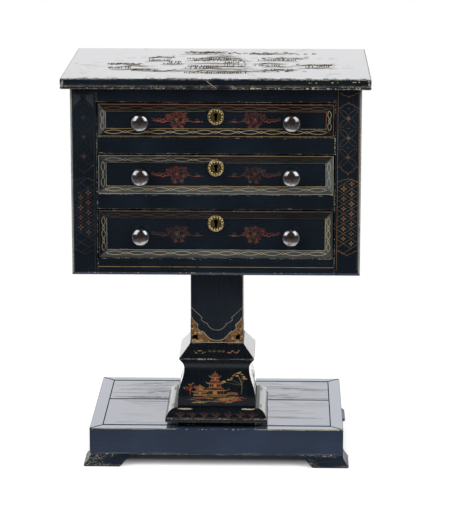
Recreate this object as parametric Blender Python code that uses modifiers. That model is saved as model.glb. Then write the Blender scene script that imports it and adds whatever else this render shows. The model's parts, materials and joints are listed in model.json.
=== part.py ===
"""Lacquered pedestal work table with three locking drawers.

Metres, +Z up. The front of the table faces -Y. The origin lies on the floor, under the middle
of the table top.
"""
import math

import bmesh
import bpy
from mathutils import Matrix, Vector

# Clearances
FIT = 0.0003                  # between glued or seated faces
RUN = 0.0005                  # under a drawer, above what it runs on
DRAWER_TOP_GAP = 0.0025       # over a drawer front
DRAWER_SIDE_GAP = 0.0020      # beside a drawer
BOLT_CLEARANCE = 0.0010       # round a lock bolt in its mortise
CUT_PAST = 0.0010             # how far a cut runs past an open face

# Whole table
TABLE_HEIGHT = 0.756

# Table top
TOP_WIDTH = 0.575
TOP_DEPTH = 0.414
TOP_THICKNESS = 0.020
TOP_ARRIS = 0.0015
TOP_BEAD_HEIGHT = 0.0065
TOP_GROOVE_DEPTH = 0.0015
TOP_GROOVE_HEIGHT = 0.0012
FRONT_OVERHANG = 0.023
BACK_OVERHANG = 0.021
SIDE_OVERHANG = 0.0165

# Case
FRAME_THICKNESS = 0.024
STILE_WIDTH = 0.049
TOP_RAIL_HEIGHT = 0.0275
UPPER_DIVIDER_HEIGHT = 0.0320
LOWER_DIVIDER_HEIGHT = 0.0285
BOTTOM_RAIL_HEIGHT = 0.0325
TENON_LENGTH = 0.014
TENON_THICKNESS = 0.008
TENON_SHOULDER = 0.005
SIDE_PANEL_THICKNESS = 0.012
SIDE_TONGUE_THICKNESS = 0.004
SIDE_TONGUE_LENGTH = 0.006
BACK_PANEL_THICKNESS = 0.011
CASE_BOTTOM_THICKNESS = 0.020
GUIDE_THICKNESS = 0.012
DUST_BOARD_THICKNESS = 0.010
HOUSING_DEPTH = 0.0035

# Drawers, heights from the top drawer down
DRAWER_HEIGHTS = (0.0620, 0.0740, 0.0905)
DRAWER_TRAVEL_SPACE = 0.007   # between a closed drawer and the back panel
FRONT_THICKNESS = 0.018
FIELD_RECESS = 0.005
BAND_WIDTH = 0.0155
BAND_LIP = 0.0020
BAND_INNER_EDGE = 0.0010
SIDE_THICKNESS = 0.010
SIDE_LAP = 0.010
SIDE_DROP = 0.006
DRAWER_BACK_THICKNESS = 0.009
DRAWER_BACK_INSET = 0.008
DRAWER_BACK_DROP = 0.004
DADO_DEPTH = 0.004
BOTTOM_THICKNESS = 0.006
BOTTOM_RISE = 0.008
GROOVE_DEPTH = 0.005

# Knobs
KNOB_DIAMETER = 0.0345
KNOB_LENGTH = 0.028
KNOB_FOOT_DIAMETER = 0.019
KNOB_NECK_DIAMETER = 0.013
KNOB_NECK_LENGTH = 0.007
KNOB_SPIGOT_DIAMETER = 0.009
KNOB_SPIGOT_LENGTH = 0.016
KNOB_INSET = 0.079            # from the end of the drawer front
KNOB_DROP = 0.003             # below the middle of the drawer front

# Escutcheons and locks
ESCUTCHEON_DIAMETER = 0.031
ESCUTCHEON_THICKNESS = 0.0025
ESCUTCHEON_EDGE_THICKNESS = 0.0012
ESCUTCHEON_RIM_WIDTH = 0.0022
ESCUTCHEON_WELL_DIAMETER = 0.019
ESCUTCHEON_WELL_THICKNESS = 0.0015
ESCUTCHEON_DROP = 0.0245      # centre below the top of the drawer front
KEYHOLE_DIAMETER = 0.0086
KEYHOLE_SLOT_WIDTH = 0.0048
KEYHOLE_SLOT_LENGTH = 0.0105
KEYHOLE_RISE = 0.0028         # round part above the plate's middle
LOCK_WIDTH = 0.044
LOCK_HEIGHT = 0.036
LOCK_DEPTH = 0.011
LOCK_KEYHOLE_DEPTH = 0.002
BOLT_WIDTH = 0.016
BOLT_THICKNESS = 0.005
BOLT_LENGTH = 0.014
BOLT_TOP_DROP = 0.0005        # below the top of the lock when unlocked
STRIKE_DEPTH = 0.007

# Pedestal
PEDESTAL_SETBACK = 0.1115     # its middle behind the case front
COLUMN_WIDTH = 0.100
COLUMN_TENON_WIDTH = 0.050
COLUMN_TOP_TENON = 0.018
COLUMN_BOTTOM_TENON = 0.040
SHOULDER_HEIGHT = 0.0255
SHOULDER_TOP_WIDTH = 0.103
ARRIS_WIDTH = 0.1445
ARRIS_THICKNESS = 0.0015
COVE_WIDTH = 0.125
COVE_HEIGHT = 0.0205          # narrowest point below the arris
VASE_WIDTH = 0.1495
VASE_HEIGHT = 0.0945          # base moulding to arris
VASE_STRAIGHT = 0.017         # upright stretch above the base moulding
PLINTH_HEIGHT = 0.012
MOULDING_WIDTH = 0.196
MOULDING_HEIGHT = 0.025
MOULDING_FILLET = 0.0075
MOULDING_QUIRK = 0.0015
MOULDING_TOP_EDGE = 0.0025
VASE_TENON_WIDTH = 0.070
VASE_TENON_LENGTH = 0.015

# Platform
PLATFORM_MARGIN = 0.002       # its front edge in front of the base moulding
PLATFORM_INSET = 0.0273       # its ends inside the case sides
PLATFORM_DEPTH = 0.365
PLATFORM_HEIGHT = 0.0525
PLATFORM_FRAME_WIDTH = 0.024
PANEL_THICKNESS = 0.016
PANEL_TONGUE_DROP = 0.005
PANEL_TONGUE_THICKNESS = 0.006
PANEL_TONGUE_LENGTH = 0.006
FRONT_BOARD_DEPTH = 0.181
BOARD_SEAM_WIDTH = 0.0012
BOARD_SEAM_DEPTH = 0.0015

# Feet
FOOT_HEIGHT = 0.0215
FOOT_LENGTH = 0.080
FOOT_UNDERCUT = 0.0220        # how much shorter the foot is on the floor
FOOT_FLARE = 0.0115
FOOT_TOE_HEIGHT = 0.004
FOOT_TOE_ROUND = 0.0015
FOOT_THICKNESS = 0.028

# Roundness of curved pieces
TURNED_STEPS = 24
TURNED_MERGE = 0.00005        # points this close to the axis become one
HOLE_STEPS = 16
CURVE_STEPS = 6

# Levels, from the floor up
PLATFORM_BOTTOM = FOOT_HEIGHT
PLATFORM_TOP = PLATFORM_BOTTOM + PLATFORM_HEIGHT
MOULDING_BOTTOM = PLATFORM_TOP + PLINTH_HEIGHT
MOULDING_TOP = MOULDING_BOTTOM + MOULDING_HEIGHT
ARRIS_LEVEL = MOULDING_TOP + VASE_HEIGHT
SHOULDER_TOP = ARRIS_LEVEL + SHOULDER_HEIGHT
OPENING_HEIGHTS = [RUN + height + DRAWER_TOP_GAP for height in DRAWER_HEIGHTS]
RAIL_HEIGHTS = (TOP_RAIL_HEIGHT, UPPER_DIVIDER_HEIGHT, LOWER_DIVIDER_HEIGHT, BOTTOM_RAIL_HEIGHT)
CASE_TOP = TABLE_HEIGHT - TOP_THICKNESS
CASE_LEVEL = CASE_TOP - sum(OPENING_HEIGHTS) - sum(RAIL_HEIGHTS)
CASE_BOTTOM_TOP = CASE_LEVEL + BOTTOM_RAIL_HEIGHT
CASE_BOTTOM_UNDERSIDE = CASE_BOTTOM_TOP - CASE_BOTTOM_THICKNESS

# Places in plan
CASE_FRONT = FRONT_OVERHANG - TOP_DEPTH / 2
CASE_BACK = TOP_DEPTH / 2 - BACK_OVERHANG
CASE_DEPTH = CASE_BACK - CASE_FRONT
FRAME_BACK = CASE_FRONT + FRAME_THICKNESS
BACK_PANEL_FRONT = CASE_BACK - BACK_PANEL_THICKNESS
CASE_HALF = TOP_WIDTH / 2 - SIDE_OVERHANG
SIDE_INNER = CASE_HALF - SIDE_PANEL_THICKNESS
OPENING_HALF = CASE_HALF - STILE_WIDTH
GUIDE_OUTER = OPENING_HALF + GUIDE_THICKNESS
FRONT_HALF = OPENING_HALF - DRAWER_SIDE_GAP
KNOB_X = FRONT_HALF - KNOB_INSET
FRONT_BACK = FIELD_RECESS + FRONT_THICKNESS
DRAWER_END = CASE_DEPTH - BACK_PANEL_THICKNESS - DRAWER_TRAVEL_SPACE
LOCK_FRONT = FRONT_BACK - LOCK_DEPTH
BOLT_FRONT = FRONT_BACK - (LOCK_DEPTH + BOLT_THICKNESS) / 2
BOLT_BACK = BOLT_FRONT + BOLT_THICKNESS
PEDESTAL_Y = CASE_FRONT + PEDESTAL_SETBACK
PLATFORM_FRONT = PEDESTAL_Y - MOULDING_WIDTH / 2 - PLATFORM_MARGIN
PLATFORM_Y = PLATFORM_FRONT + PLATFORM_DEPTH / 2
PLATFORM_HALF_X = CASE_HALF - PLATFORM_INSET
PANEL_HALF_X = PLATFORM_HALF_X - PLATFORM_FRAME_WIDTH
PANEL_HALF_Y = PLATFORM_DEPTH / 2 - PLATFORM_FRAME_WIDTH

SIDES = (("left", -1), ("right", 1))
ENDS = (("front", -1), ("back", 1))

# Finishes: base colour, roughness, metallic
FINISHES = {
    "black_lacquer": ((0.010, 0.014, 0.020, 1.0), 0.28, 0.0),
    "drawer_wood": ((0.330, 0.190, 0.090, 1.0), 0.65, 0.0),
    "polished_knob": ((0.300, 0.290, 0.290, 1.0), 0.18, 1.0),
    "brass": ((0.480, 0.330, 0.110, 1.0), 0.32, 1.0),
    "steel": ((0.350, 0.350, 0.360, 1.0), 0.35, 1.0),
}


# Scene

def clear_scene():
    for obj in list(bpy.data.objects):
        bpy.data.objects.remove(obj, do_unlink=True)


def new_collection(name):
    collection = bpy.data.collections.new(name)
    bpy.context.scene.collection.children.link(collection)
    return collection


def new_material(part_name, finish):
    colour, roughness, metallic = FINISHES[finish]
    material = bpy.data.materials.new(part_name + "_" + finish)
    material.use_nodes = True
    shader = material.node_tree.nodes["Principled BSDF"]
    shader.inputs["Base Color"].default_value = colour
    shader.inputs["Roughness"].default_value = roughness
    shader.inputs["Metallic"].default_value = metallic
    material.diffuse_color = colour
    return material


# Shapes, each a function that adds one closed body to a mesh under construction

def box(low, high):
    def build(bm):
        size = [upper - lower for lower, upper in zip(low, high)]
        centre = [(upper + lower) / 2 for lower, upper in zip(low, high)]
        matrix = Matrix.Translation(centre) @ Matrix.Diagonal(size + [1.0])
        bmesh.ops.create_cube(bm, size=1.0, matrix=matrix)
    return build


def rod_along_y(x, z, front, back, radius):
    def build(bm):
        centre = Matrix.Translation((x, (front + back) / 2, z))
        turn = Matrix.Rotation(math.radians(90), 4, "X")
        bmesh.ops.create_cone(
            bm, cap_ends=True, segments=HOLE_STEPS, radius1=radius, radius2=radius,
            depth=back - front, matrix=centre @ turn)
    return build


def prism(outline, axis, start, end):
    """Extrude a flat outline along X, Y or Z; the outline's pairs are the other two axes in order."""
    def build(bm):
        corners = []
        for pair in outline:
            place = list(pair)
            place.insert("XYZ".index(axis), start)
            corners.append(bm.verts.new(place))
        face = bm.faces.new(corners)
        result = bmesh.ops.extrude_face_region(bm, geom=[face])
        moved = [item for item in result["geom"] if isinstance(item, bmesh.types.BMVert)]
        shift = Vector((0, 0, 0))
        shift["XYZ".index(axis)] = end - start
        bmesh.ops.translate(bm, verts=moved, vec=shift)
    return build


def stack(sections, axis="Z"):
    """Loft through rectangles given as (low u, high u, low v, high v, level along the axis)."""
    def build(bm):
        rings = []
        for low_u, high_u, low_v, high_v, level in sections:
            ring = []
            for pair in ((low_u, low_v), (high_u, low_v), (high_u, high_v), (low_u, high_v)):
                place = list(pair)
                place.insert("XYZ".index(axis), level)
                ring.append(bm.verts.new(place))
            rings.append(ring)
        for lower, upper in zip(rings, rings[1:]):
            for i in range(4):
                j = (i + 1) % 4
                bm.faces.new((lower[i], lower[j], upper[j], upper[i]))
        bm.faces.new(rings[0])
        bm.faces.new(rings[-1])
    return build


def square_stack(sections, centre_y):
    """Loft through squares on one upright axis, given as (half width, level)."""
    return stack([(-half, half, centre_y - half, centre_y + half, level) for half, level in sections])


def mesh_of(name, shapes):
    bm = bmesh.new()
    for shape in shapes:
        shape(bm)
    bmesh.ops.recalc_face_normals(bm, faces=bm.faces[:])
    mesh = bpy.data.meshes.new(name)
    bm.to_mesh(mesh)
    bm.free()
    return mesh


class Table:
    """The collections that the parts and their cutters go in."""

    def __init__(self):
        self.parts = new_collection("work_table")
        self.cutters = new_collection("work_table_cutters")

    def empty(self, name, location):
        obj = bpy.data.objects.new(name, None)
        obj.location = location
        self.parts.objects.link(obj)
        return obj

    def part(self, name, finish, shape, parent=None):
        obj = bpy.data.objects.new(name, mesh_of(name, [shape]))
        obj.data.materials.append(new_material(name, finish))
        obj.parent = parent
        self.parts.objects.link(obj)
        return obj

    def cut(self, part, label, *shapes):
        """Take the shapes, which don't meet each other, out of a part."""
        name = part.name + "_" + label
        cutter = bpy.data.objects.new(name, mesh_of(name, shapes))
        cutter.parent = part.parent
        cutter.hide_render = True
        cutter.display_type = "WIRE"
        self.cutters.objects.link(cutter)
        modifier = part.modifiers.new(label, "BOOLEAN")
        modifier.operation = "DIFFERENCE"
        modifier.solver = "EXACT"
        modifier.object = cutter

    def turned(self, name, finish, profile, parent, place):
        """Turn a profile, given from its front end back as (radius, distance out), about the Y axis."""
        bm = bmesh.new()
        points = [bm.verts.new((radius, 0, out)) for radius, out in profile]
        for first, second in zip(points, points[1:]):
            bm.edges.new((first, second))
        mesh = bpy.data.meshes.new(name)
        bm.to_mesh(mesh)
        bm.free()
        obj = bpy.data.objects.new(name, mesh)
        obj.data.materials.append(new_material(name, finish))
        obj.parent = parent
        obj.location = place
        obj.rotation_euler = (math.radians(90), 0, 0)
        self.parts.objects.link(obj)
        screw = obj.modifiers.new("turning", "SCREW")
        screw.axis = "Z"
        screw.steps = TURNED_STEPS
        screw.render_steps = TURNED_STEPS
        screw.use_merge_vertices = True
        screw.merge_threshold = TURNED_MERGE
        screw.use_smooth_shade = True
        return obj


# Table top

def make_top(table):
    half_x = TOP_WIDTH / 2
    half_y = TOP_DEPTH / 2
    groove_low = TOP_BEAD_HEIGHT
    groove_high = groove_low + TOP_GROOVE_HEIGHT
    profile = (
        (TOP_ARRIS, 0.0),
        (0.0, TOP_ARRIS),
        (0.0, groove_low - TOP_ARRIS),
        (TOP_GROOVE_DEPTH, groove_low),
        (TOP_GROOVE_DEPTH, groove_high),
        (0.0, groove_high),
        (0.0, TOP_THICKNESS - TOP_ARRIS),
        (TOP_ARRIS, TOP_THICKNESS),
    )
    sections = []
    for inset, rise in profile:
        x = half_x - inset
        y = half_y - inset
        sections.append((-x, x, -y, y, CASE_TOP + rise))
    table.part("table_top", "black_lacquer", stack(sections))


# Case

def rail_levels():
    """Bottom and top level of each rail, from the top rail down."""
    levels = []
    upper = CASE_TOP
    for index, height in enumerate(RAIL_HEIGHTS):
        lower = upper - height
        levels.append((lower, upper))
        if index < len(OPENING_HEIGHTS):
            upper = lower - OPENING_HEIGHTS[index]
    return levels


def tenon_bounds(level, sign, clearance):
    """Low and high corner of a rail's tenon, or of its mortise when there is clearance."""
    lower, upper = level
    middle = CASE_FRONT + FRAME_THICKNESS / 2
    root = OPENING_HALF - CUT_PAST
    tip = OPENING_HALF + TENON_LENGTH + clearance
    reach = TENON_THICKNESS / 2 + clearance
    low = (min(sign * root, sign * tip), middle - reach, lower + TENON_SHOULDER - clearance)
    high = (max(sign * root, sign * tip), middle + reach, upper - TENON_SHOULDER + clearance)
    return low, high


def rail_shape(level, clearance_top):
    """A rail with a tenon on each end, as one stack of rectangles along its length."""
    lower, upper = level
    upper = upper - clearance_top
    middle = CASE_FRONT + FRAME_THICKNESS / 2
    half = TENON_THICKNESS / 2
    shoulder = OPENING_HALF - FIT
    tip = OPENING_HALF + TENON_LENGTH
    body = (CASE_FRONT, FRAME_BACK, lower, upper)
    tenon = (middle - half, middle + half, lower + TENON_SHOULDER, level[1] - TENON_SHOULDER)
    return stack([
        tenon + (-tip,), tenon + (-shoulder,),
        body + (-shoulder,), body + (shoulder,),
        tenon + (shoulder,), tenon + (tip,)], "X")


def make_rails(table):
    """Rails with a strike mortise over each drawer for its lock bolt."""
    names = ("top_rail", "upper_divider_rail", "lower_divider_rail", "bottom_rail")
    half = BOLT_WIDTH / 2 + BOLT_CLEARANCE
    front = CASE_FRONT + BOLT_FRONT - BOLT_CLEARANCE
    back = CASE_FRONT + BOLT_BACK + BOLT_CLEARANCE
    for index, (name, level) in enumerate(zip(names, rail_levels())):
        rail = table.part(name, "black_lacquer", rail_shape(level, FIT if index == 0 else 0.0))
        if index < len(DRAWER_HEIGHTS):
            low = (-half, front, level[0] - CUT_PAST)
            high = (half, back, level[0] + STRIKE_DEPTH)
            table.cut(rail, "strike", box(low, high))


def make_stiles(table):
    """Stiles with a mortise for each rail and a groove behind for the side panel."""
    groove_middle = CASE_HALF - SIDE_PANEL_THICKNESS / 2
    groove_half = SIDE_TONGUE_THICKNESS / 2 + FIT
    for side, sign in SIDES:
        edges = sorted((sign * OPENING_HALF, sign * CASE_HALF))
        low = (edges[0], CASE_FRONT, CASE_LEVEL)
        high = (edges[1], FRAME_BACK, CASE_TOP - FIT)
        stile = table.part(side + "_stile", "black_lacquer", box(low, high))
        cuts = [box(*tenon_bounds(level, sign, FIT)) for level in rail_levels()]
        groove = (
            sign * groove_middle - groove_half,
            FRAME_BACK - SIDE_TONGUE_LENGTH - FIT,
            CASE_LEVEL - CUT_PAST)
        groove_end = (sign * groove_middle + groove_half, FRAME_BACK + CUT_PAST, CASE_TOP + CUT_PAST)
        table.cut(stile, "joints", *cuts, box(groove, groove_end))


def make_side_panels(table):
    """Sides with a tongue in the stile and a housing for the case bottom."""
    middle = CASE_HALF - SIDE_PANEL_THICKNESS / 2
    half = SIDE_TONGUE_THICKNESS / 2
    start = FRAME_BACK + FIT
    tip = FRAME_BACK - SIDE_TONGUE_LENGTH
    outline = (
        (SIDE_INNER, start), (middle - half, start), (middle - half, tip), (middle + half, tip),
        (middle + half, start), (CASE_HALF, start), (CASE_HALF, CASE_BACK), (SIDE_INNER, CASE_BACK))
    for side, sign in SIDES:
        points = [(sign * x, y) for x, y in outline]
        panel = table.part(
            side + "_side_panel", "black_lacquer", prism(points, "Z", CASE_LEVEL, CASE_TOP - FIT))
        edges = sorted((sign * (SIDE_INNER - CUT_PAST), sign * (SIDE_INNER + HOUSING_DEPTH)))
        low = (edges[0], start - CUT_PAST, CASE_BOTTOM_UNDERSIDE - FIT)
        high = (edges[1], BACK_PANEL_FRONT, CASE_BOTTOM_TOP + FIT)
        table.cut(panel, "housing", box(low, high))


def make_back_panel(table):
    half = SIDE_INNER - FIT
    low = (-half, BACK_PANEL_FRONT, CASE_LEVEL)
    high = (half, CASE_BACK, CASE_TOP - FIT)
    table.part("back_panel", "black_lacquer", box(low, high))


def make_case_bottom(table):
    """Bottom board, housed in the sides, with the mortise that the column stands in."""
    half = SIDE_INNER + HOUSING_DEPTH - FIT
    low = (-half, FRAME_BACK + FIT, CASE_BOTTOM_UNDERSIDE)
    high = (half, BACK_PANEL_FRONT - FIT, CASE_BOTTOM_TOP)
    board = table.part("case_bottom", "drawer_wood", box(low, high))
    reach = COLUMN_TENON_WIDTH / 2 + FIT
    mortise_low = (-reach, PEDESTAL_Y - reach, CASE_BOTTOM_UNDERSIDE - CUT_PAST)
    mortise_high = (reach, PEDESTAL_Y + reach, CASE_BOTTOM_UNDERSIDE + COLUMN_TOP_TENON + FIT)
    table.cut(board, "mortise", box(mortise_low, mortise_high))


def dust_board_levels():
    """Top level of each dust board: that of the rail in front of it."""
    levels = rail_levels()
    return {"upper": levels[1][1], "lower": levels[2][1]}


def make_guide_boards(table):
    """Upright boards beside the drawers, with housings for the dust boards."""
    start = FRAME_BACK + FIT
    end = BACK_PANEL_FRONT - FIT
    for side, sign in SIDES:
        edges = sorted((sign * OPENING_HALF, sign * GUIDE_OUTER))
        low = (edges[0], start, CASE_BOTTOM_TOP + FIT)
        high = (edges[1], end, CASE_TOP - FIT)
        guide = table.part(side + "_guide_board", "drawer_wood", box(low, high))
        reach = sorted((sign * (OPENING_HALF - CUT_PAST), sign * (OPENING_HALF + HOUSING_DEPTH)))
        housings = []
        for level in dust_board_levels().values():
            housing_low = (reach[0], start - CUT_PAST, level - DUST_BOARD_THICKNESS - FIT)
            housing_high = (reach[1], end + CUT_PAST, level + FIT)
            housings.append(box(housing_low, housing_high))
        table.cut(guide, "housings", *housings)


def make_dust_boards(table):
    half = OPENING_HALF + HOUSING_DEPTH - FIT
    for place, level in dust_board_levels().items():
        low = (-half, FRAME_BACK + FIT, level - DUST_BOARD_THICKNESS)
        high = (half, BACK_PANEL_FRONT - FIT, level)
        table.part(place + "_dust_board", "drawer_wood", box(low, high))


# Drawers, each in its own frame: Y from the case front inwards, Z from the drawer's lower edge

def keyhole(front, back, plate_z):
    """A round hole with a slot below it, through a plate between two distances."""
    radius = KEYHOLE_DIAMETER / 2
    round_z = plate_z + KEYHOLE_RISE
    half_slot = KEYHOLE_SLOT_WIDTH / 2
    slot_end = round_z - KEYHOLE_SLOT_LENGTH
    start = math.asin(half_slot / radius) - math.pi / 2
    sweep = 2 * math.pi - 2 * (start + math.pi / 2)
    outline = []
    for step in range(HOLE_STEPS + 1):
        angle = start + sweep * step / HOLE_STEPS
        outline.append((radius * math.cos(angle), round_z + radius * math.sin(angle)))
    outline.append((-half_slot, slot_end))
    outline.append((half_slot, slot_end))
    return prism(outline, "Y", front, back)


def make_drawer_front(table, name, height, parent):
    """Front board: laps for the sides, groove for the bottom, holes for knobs, key and lock."""
    inner = FRONT_HALF - SIDE_THICKNESS
    lap = FRONT_BACK - SIDE_LAP
    outline = (
        (-FRONT_HALF, FIELD_RECESS), (FRONT_HALF, FIELD_RECESS), (FRONT_HALF, lap), (inner, lap),
        (inner, FRONT_BACK), (-inner, FRONT_BACK), (-inner, lap), (-FRONT_HALF, lap))
    front = table.part(name + "_front", "black_lacquer", prism(outline, "Z", 0.0, height), parent)
    groove_low = (-inner - CUT_PAST, FRONT_BACK - GROOVE_DEPTH, BOTTOM_RISE - FIT)
    groove_high = (inner + CUT_PAST, FRONT_BACK + CUT_PAST, BOTTOM_RISE + BOTTOM_THICKNESS + FIT)
    lock_half = LOCK_WIDTH / 2 + FIT
    lock_low = (-lock_half, LOCK_FRONT - FIT, height - LOCK_HEIGHT - FIT)
    lock_high = (lock_half, FRONT_BACK + CUT_PAST, height + CUT_PAST)
    hole_radius = KNOB_SPIGOT_DIAMETER / 2 + FIT
    knob_level = height / 2 - KNOB_DROP
    holes = [
        rod_along_y(sign * KNOB_X, knob_level, FIELD_RECESS - CUT_PAST,
                    FRONT_BACK + CUT_PAST, hole_radius)
        for side, sign in SIDES]
    table.cut(front, "joints", box(groove_low, groove_high), box(lock_low, lock_high), *holes)
    key_level = height - ESCUTCHEON_DROP
    table.cut(front, "keyhole", keyhole(FIELD_RECESS - CUT_PAST, LOCK_FRONT + CUT_PAST, key_level))


def make_front_moulding(table, name, height, parent):
    """Mitred border that slopes in from the drawer's edge to its field, notched for the escutcheon."""
    back = FIELD_RECESS - FIT
    slope_end = back - BAND_INNER_EDGE
    slope = (BAND_WIDTH - BAND_LIP) / slope_end
    border = table.part(
        name + "_front_moulding", "black_lacquer",
        box((-FRONT_HALF, 0.0, 0.0), (FRONT_HALF, back, height)), parent)
    insets = (
        (BAND_LIP - slope * CUT_PAST, -CUT_PAST),
        (BAND_WIDTH, slope_end),
        (BAND_WIDTH, back + CUT_PAST),
    )
    sections = []
    for inset, level in insets:
        sections.append((inset - FRONT_HALF, FRONT_HALF - inset, inset, height - inset, level))
    table.cut(border, "slope", stack(sections, "Y"))
    notch_radius = ESCUTCHEON_DIAMETER / 2 + FIT
    notch = rod_along_y(0.0, height - ESCUTCHEON_DROP, -CUT_PAST, back + CUT_PAST, notch_radius)
    table.cut(border, "notch", notch)


def make_drawer_box(table, name, height, parent):
    """Sides lapped into the front, back housed in the sides, bottom in grooves."""
    side_top = height - SIDE_DROP
    side_start = FRONT_BACK - SIDE_LAP + FIT
    inner = FRONT_HALF - SIDE_THICKNESS
    back_end = DRAWER_END - DRAWER_BACK_INSET
    back_start = back_end - DRAWER_BACK_THICKNESS
    bottom_top = BOTTOM_RISE + BOTTOM_THICKNESS
    for side, sign in SIDES:
        edges = sorted((sign * (inner + FIT), sign * FRONT_HALF))
        board = table.part(
            name + "_" + side + "_side", "drawer_wood",
            box((edges[0], side_start, 0.0), (edges[1], DRAWER_END, side_top)), parent)
        groove = sorted((sign * (inner - CUT_PAST), sign * (inner + GROOVE_DEPTH)))
        dado = sorted((sign * (inner - CUT_PAST), sign * (inner + DADO_DEPTH)))
        groove_cut = box(
            (groove[0], side_start - CUT_PAST, BOTTOM_RISE - FIT),
            (groove[1], DRAWER_END + CUT_PAST, bottom_top + FIT))
        dado_cut = box(
            (dado[0], back_start - FIT, bottom_top), (dado[1], back_end + FIT, side_top + CUT_PAST))
        table.cut(board, "groove", groove_cut)
        table.cut(board, "dado", dado_cut)
    reach = inner + DADO_DEPTH - FIT
    table.part(
        name + "_back", "drawer_wood",
        box((-reach, back_start, bottom_top + FIT), (reach, back_end, side_top - DRAWER_BACK_DROP)),
        parent)
    reach = inner + GROOVE_DEPTH - FIT
    table.part(
        name + "_bottom", "drawer_wood",
        box((-reach, FRONT_BACK - GROOVE_DEPTH + FIT, BOTTOM_RISE), (reach, back_end, bottom_top)),
        parent)


def knob_profile():
    """Head, neck, foot and spigot of a knob, from the crown back."""
    head_length = KNOB_LENGTH - KNOB_NECK_LENGTH
    head_middle = KNOB_NECK_LENGTH + head_length / 2
    half_head = head_length / 2
    radius = KNOB_DIAMETER / 2
    neck = KNOB_NECK_DIAMETER / 2
    steps = 2 * CURVE_STEPS
    points = []
    last_angle = math.acos(neck / radius)
    for step in range(steps + 1):
        angle = math.pi / 2 - (math.pi / 2 + last_angle) * step / steps
        points.append((radius * math.cos(angle), head_middle + half_head * math.sin(angle)))
    points[0] = (0.0, KNOB_LENGTH)
    neck_start = points[-1][1]
    foot = KNOB_FOOT_DIAMETER / 2
    for step in range(1, CURVE_STEPS // 2 + 1):
        share = step / (CURVE_STEPS // 2)
        points.append((neck + (foot - neck) * share ** 2, neck_start * (1 - share) + FIT * share))
    spigot = KNOB_SPIGOT_DIAMETER / 2
    points += [(spigot, FIT), (spigot, -KNOB_SPIGOT_LENGTH), (0.0, -KNOB_SPIGOT_LENGTH)]
    return points


def escutcheon_profile():
    """A low dished plate, from the middle of its face round to the middle of its back."""
    radius = ESCUTCHEON_DIAMETER / 2
    return [
        (0.0, ESCUTCHEON_WELL_THICKNESS), (ESCUTCHEON_WELL_DIAMETER / 2, ESCUTCHEON_WELL_THICKNESS),
        (radius - ESCUTCHEON_RIM_WIDTH, ESCUTCHEON_THICKNESS), (radius, ESCUTCHEON_EDGE_THICKNESS),
        (radius, FIT), (0.0, FIT)]


def make_drawer_fittings(table, name, height, parent):
    knob_level = height / 2 - KNOB_DROP
    for side, sign in SIDES:
        table.turned(
            name + "_" + side + "_knob", "polished_knob", knob_profile(), parent,
            (sign * KNOB_X, FIELD_RECESS, knob_level))
    key_level = height - ESCUTCHEON_DROP
    plate = table.turned(
        name + "_escutcheon", "brass", escutcheon_profile(), parent, (0.0, FIELD_RECESS, key_level))
    table.cut(plate, "keyhole", keyhole(-CUT_PAST, FIELD_RECESS + CUT_PAST, key_level))


def make_lock(table, name, height, parent):
    """Lock case let into the back of the front, and its bolt in a slot open at the top."""
    half = LOCK_WIDTH / 2
    lock = table.part(
        name + "_lock", "brass",
        box((-half, LOCK_FRONT, height - LOCK_HEIGHT), (half, FRONT_BACK, height)), parent)
    bolt_low = height - BOLT_TOP_DROP - BOLT_LENGTH
    half_bolt = BOLT_WIDTH / 2
    slot = box(
        (-half_bolt - FIT, BOLT_FRONT - FIT, bolt_low - FIT),
        (half_bolt + FIT, BOLT_BACK + FIT, height + CUT_PAST))
    key = keyhole(LOCK_FRONT - CUT_PAST, LOCK_FRONT + LOCK_KEYHOLE_DEPTH, height - ESCUTCHEON_DROP)
    table.cut(lock, "openings", slot, key)
    table.part(
        name + "_lock_bolt", "steel",
        box((-half_bolt, BOLT_FRONT, bolt_low), (half_bolt, BOLT_BACK, height - BOLT_TOP_DROP)), parent)


def make_drawers(table):
    levels = rail_levels()
    for index, height in enumerate(DRAWER_HEIGHTS):
        name = "drawer_%d" % (index + 1)
        slide = table.empty(name + "_slide", (0.0, CASE_FRONT, levels[index + 1][1] + RUN))
        make_drawer_front(table, name, height, slide)
        make_front_moulding(table, name, height, slide)
        make_drawer_box(table, name, height, slide)
        make_drawer_fittings(table, name, height, slide)
        make_lock(table, name, height, slide)


# Pedestal

def make_column(table):
    tenon = COLUMN_TENON_WIDTH / 2
    half = COLUMN_WIDTH / 2
    seat = SHOULDER_TOP + FIT
    head = CASE_BOTTOM_UNDERSIDE - FIT
    sections = (
        (tenon, SHOULDER_TOP - COLUMN_BOTTOM_TENON), (tenon, seat), (half, seat), (half, head),
        (tenon, head), (tenon, CASE_BOTTOM_UNDERSIDE + COLUMN_TOP_TENON))
    table.part("pedestal_column", "black_lacquer", square_stack(sections, PEDESTAL_Y))


def vase_profile():
    """Half widths of the vase from the base moulding up: upright foot, flare, cove and shoulder."""
    vase = VASE_WIDTH / 2
    cove = COVE_WIDTH / 2
    arris = ARRIS_WIDTH / 2
    flare_start = MOULDING_TOP + VASE_STRAIGHT
    cove_level = ARRIS_LEVEL - COVE_HEIGHT
    cove_end = ARRIS_LEVEL - ARRIS_THICKNESS
    points = []
    for step in range(2 * CURVE_STEPS + 1):
        share = step / (2 * CURVE_STEPS)
        half = cove + (vase - cove) * (1 + math.cos(math.pi * share)) / 2
        points.append((half, flare_start + (cove_level - flare_start) * share))
    for step in range(1, CURVE_STEPS + 1):
        share = step / CURVE_STEPS
        half = cove + (arris - cove) * (1 - math.cos(math.pi / 2 * share))
        points.append((half, cove_level + (cove_end - cove_level) * share))
    points.append((arris, ARRIS_LEVEL))
    points.append((SHOULDER_TOP_WIDTH / 2, SHOULDER_TOP))
    return points


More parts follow.
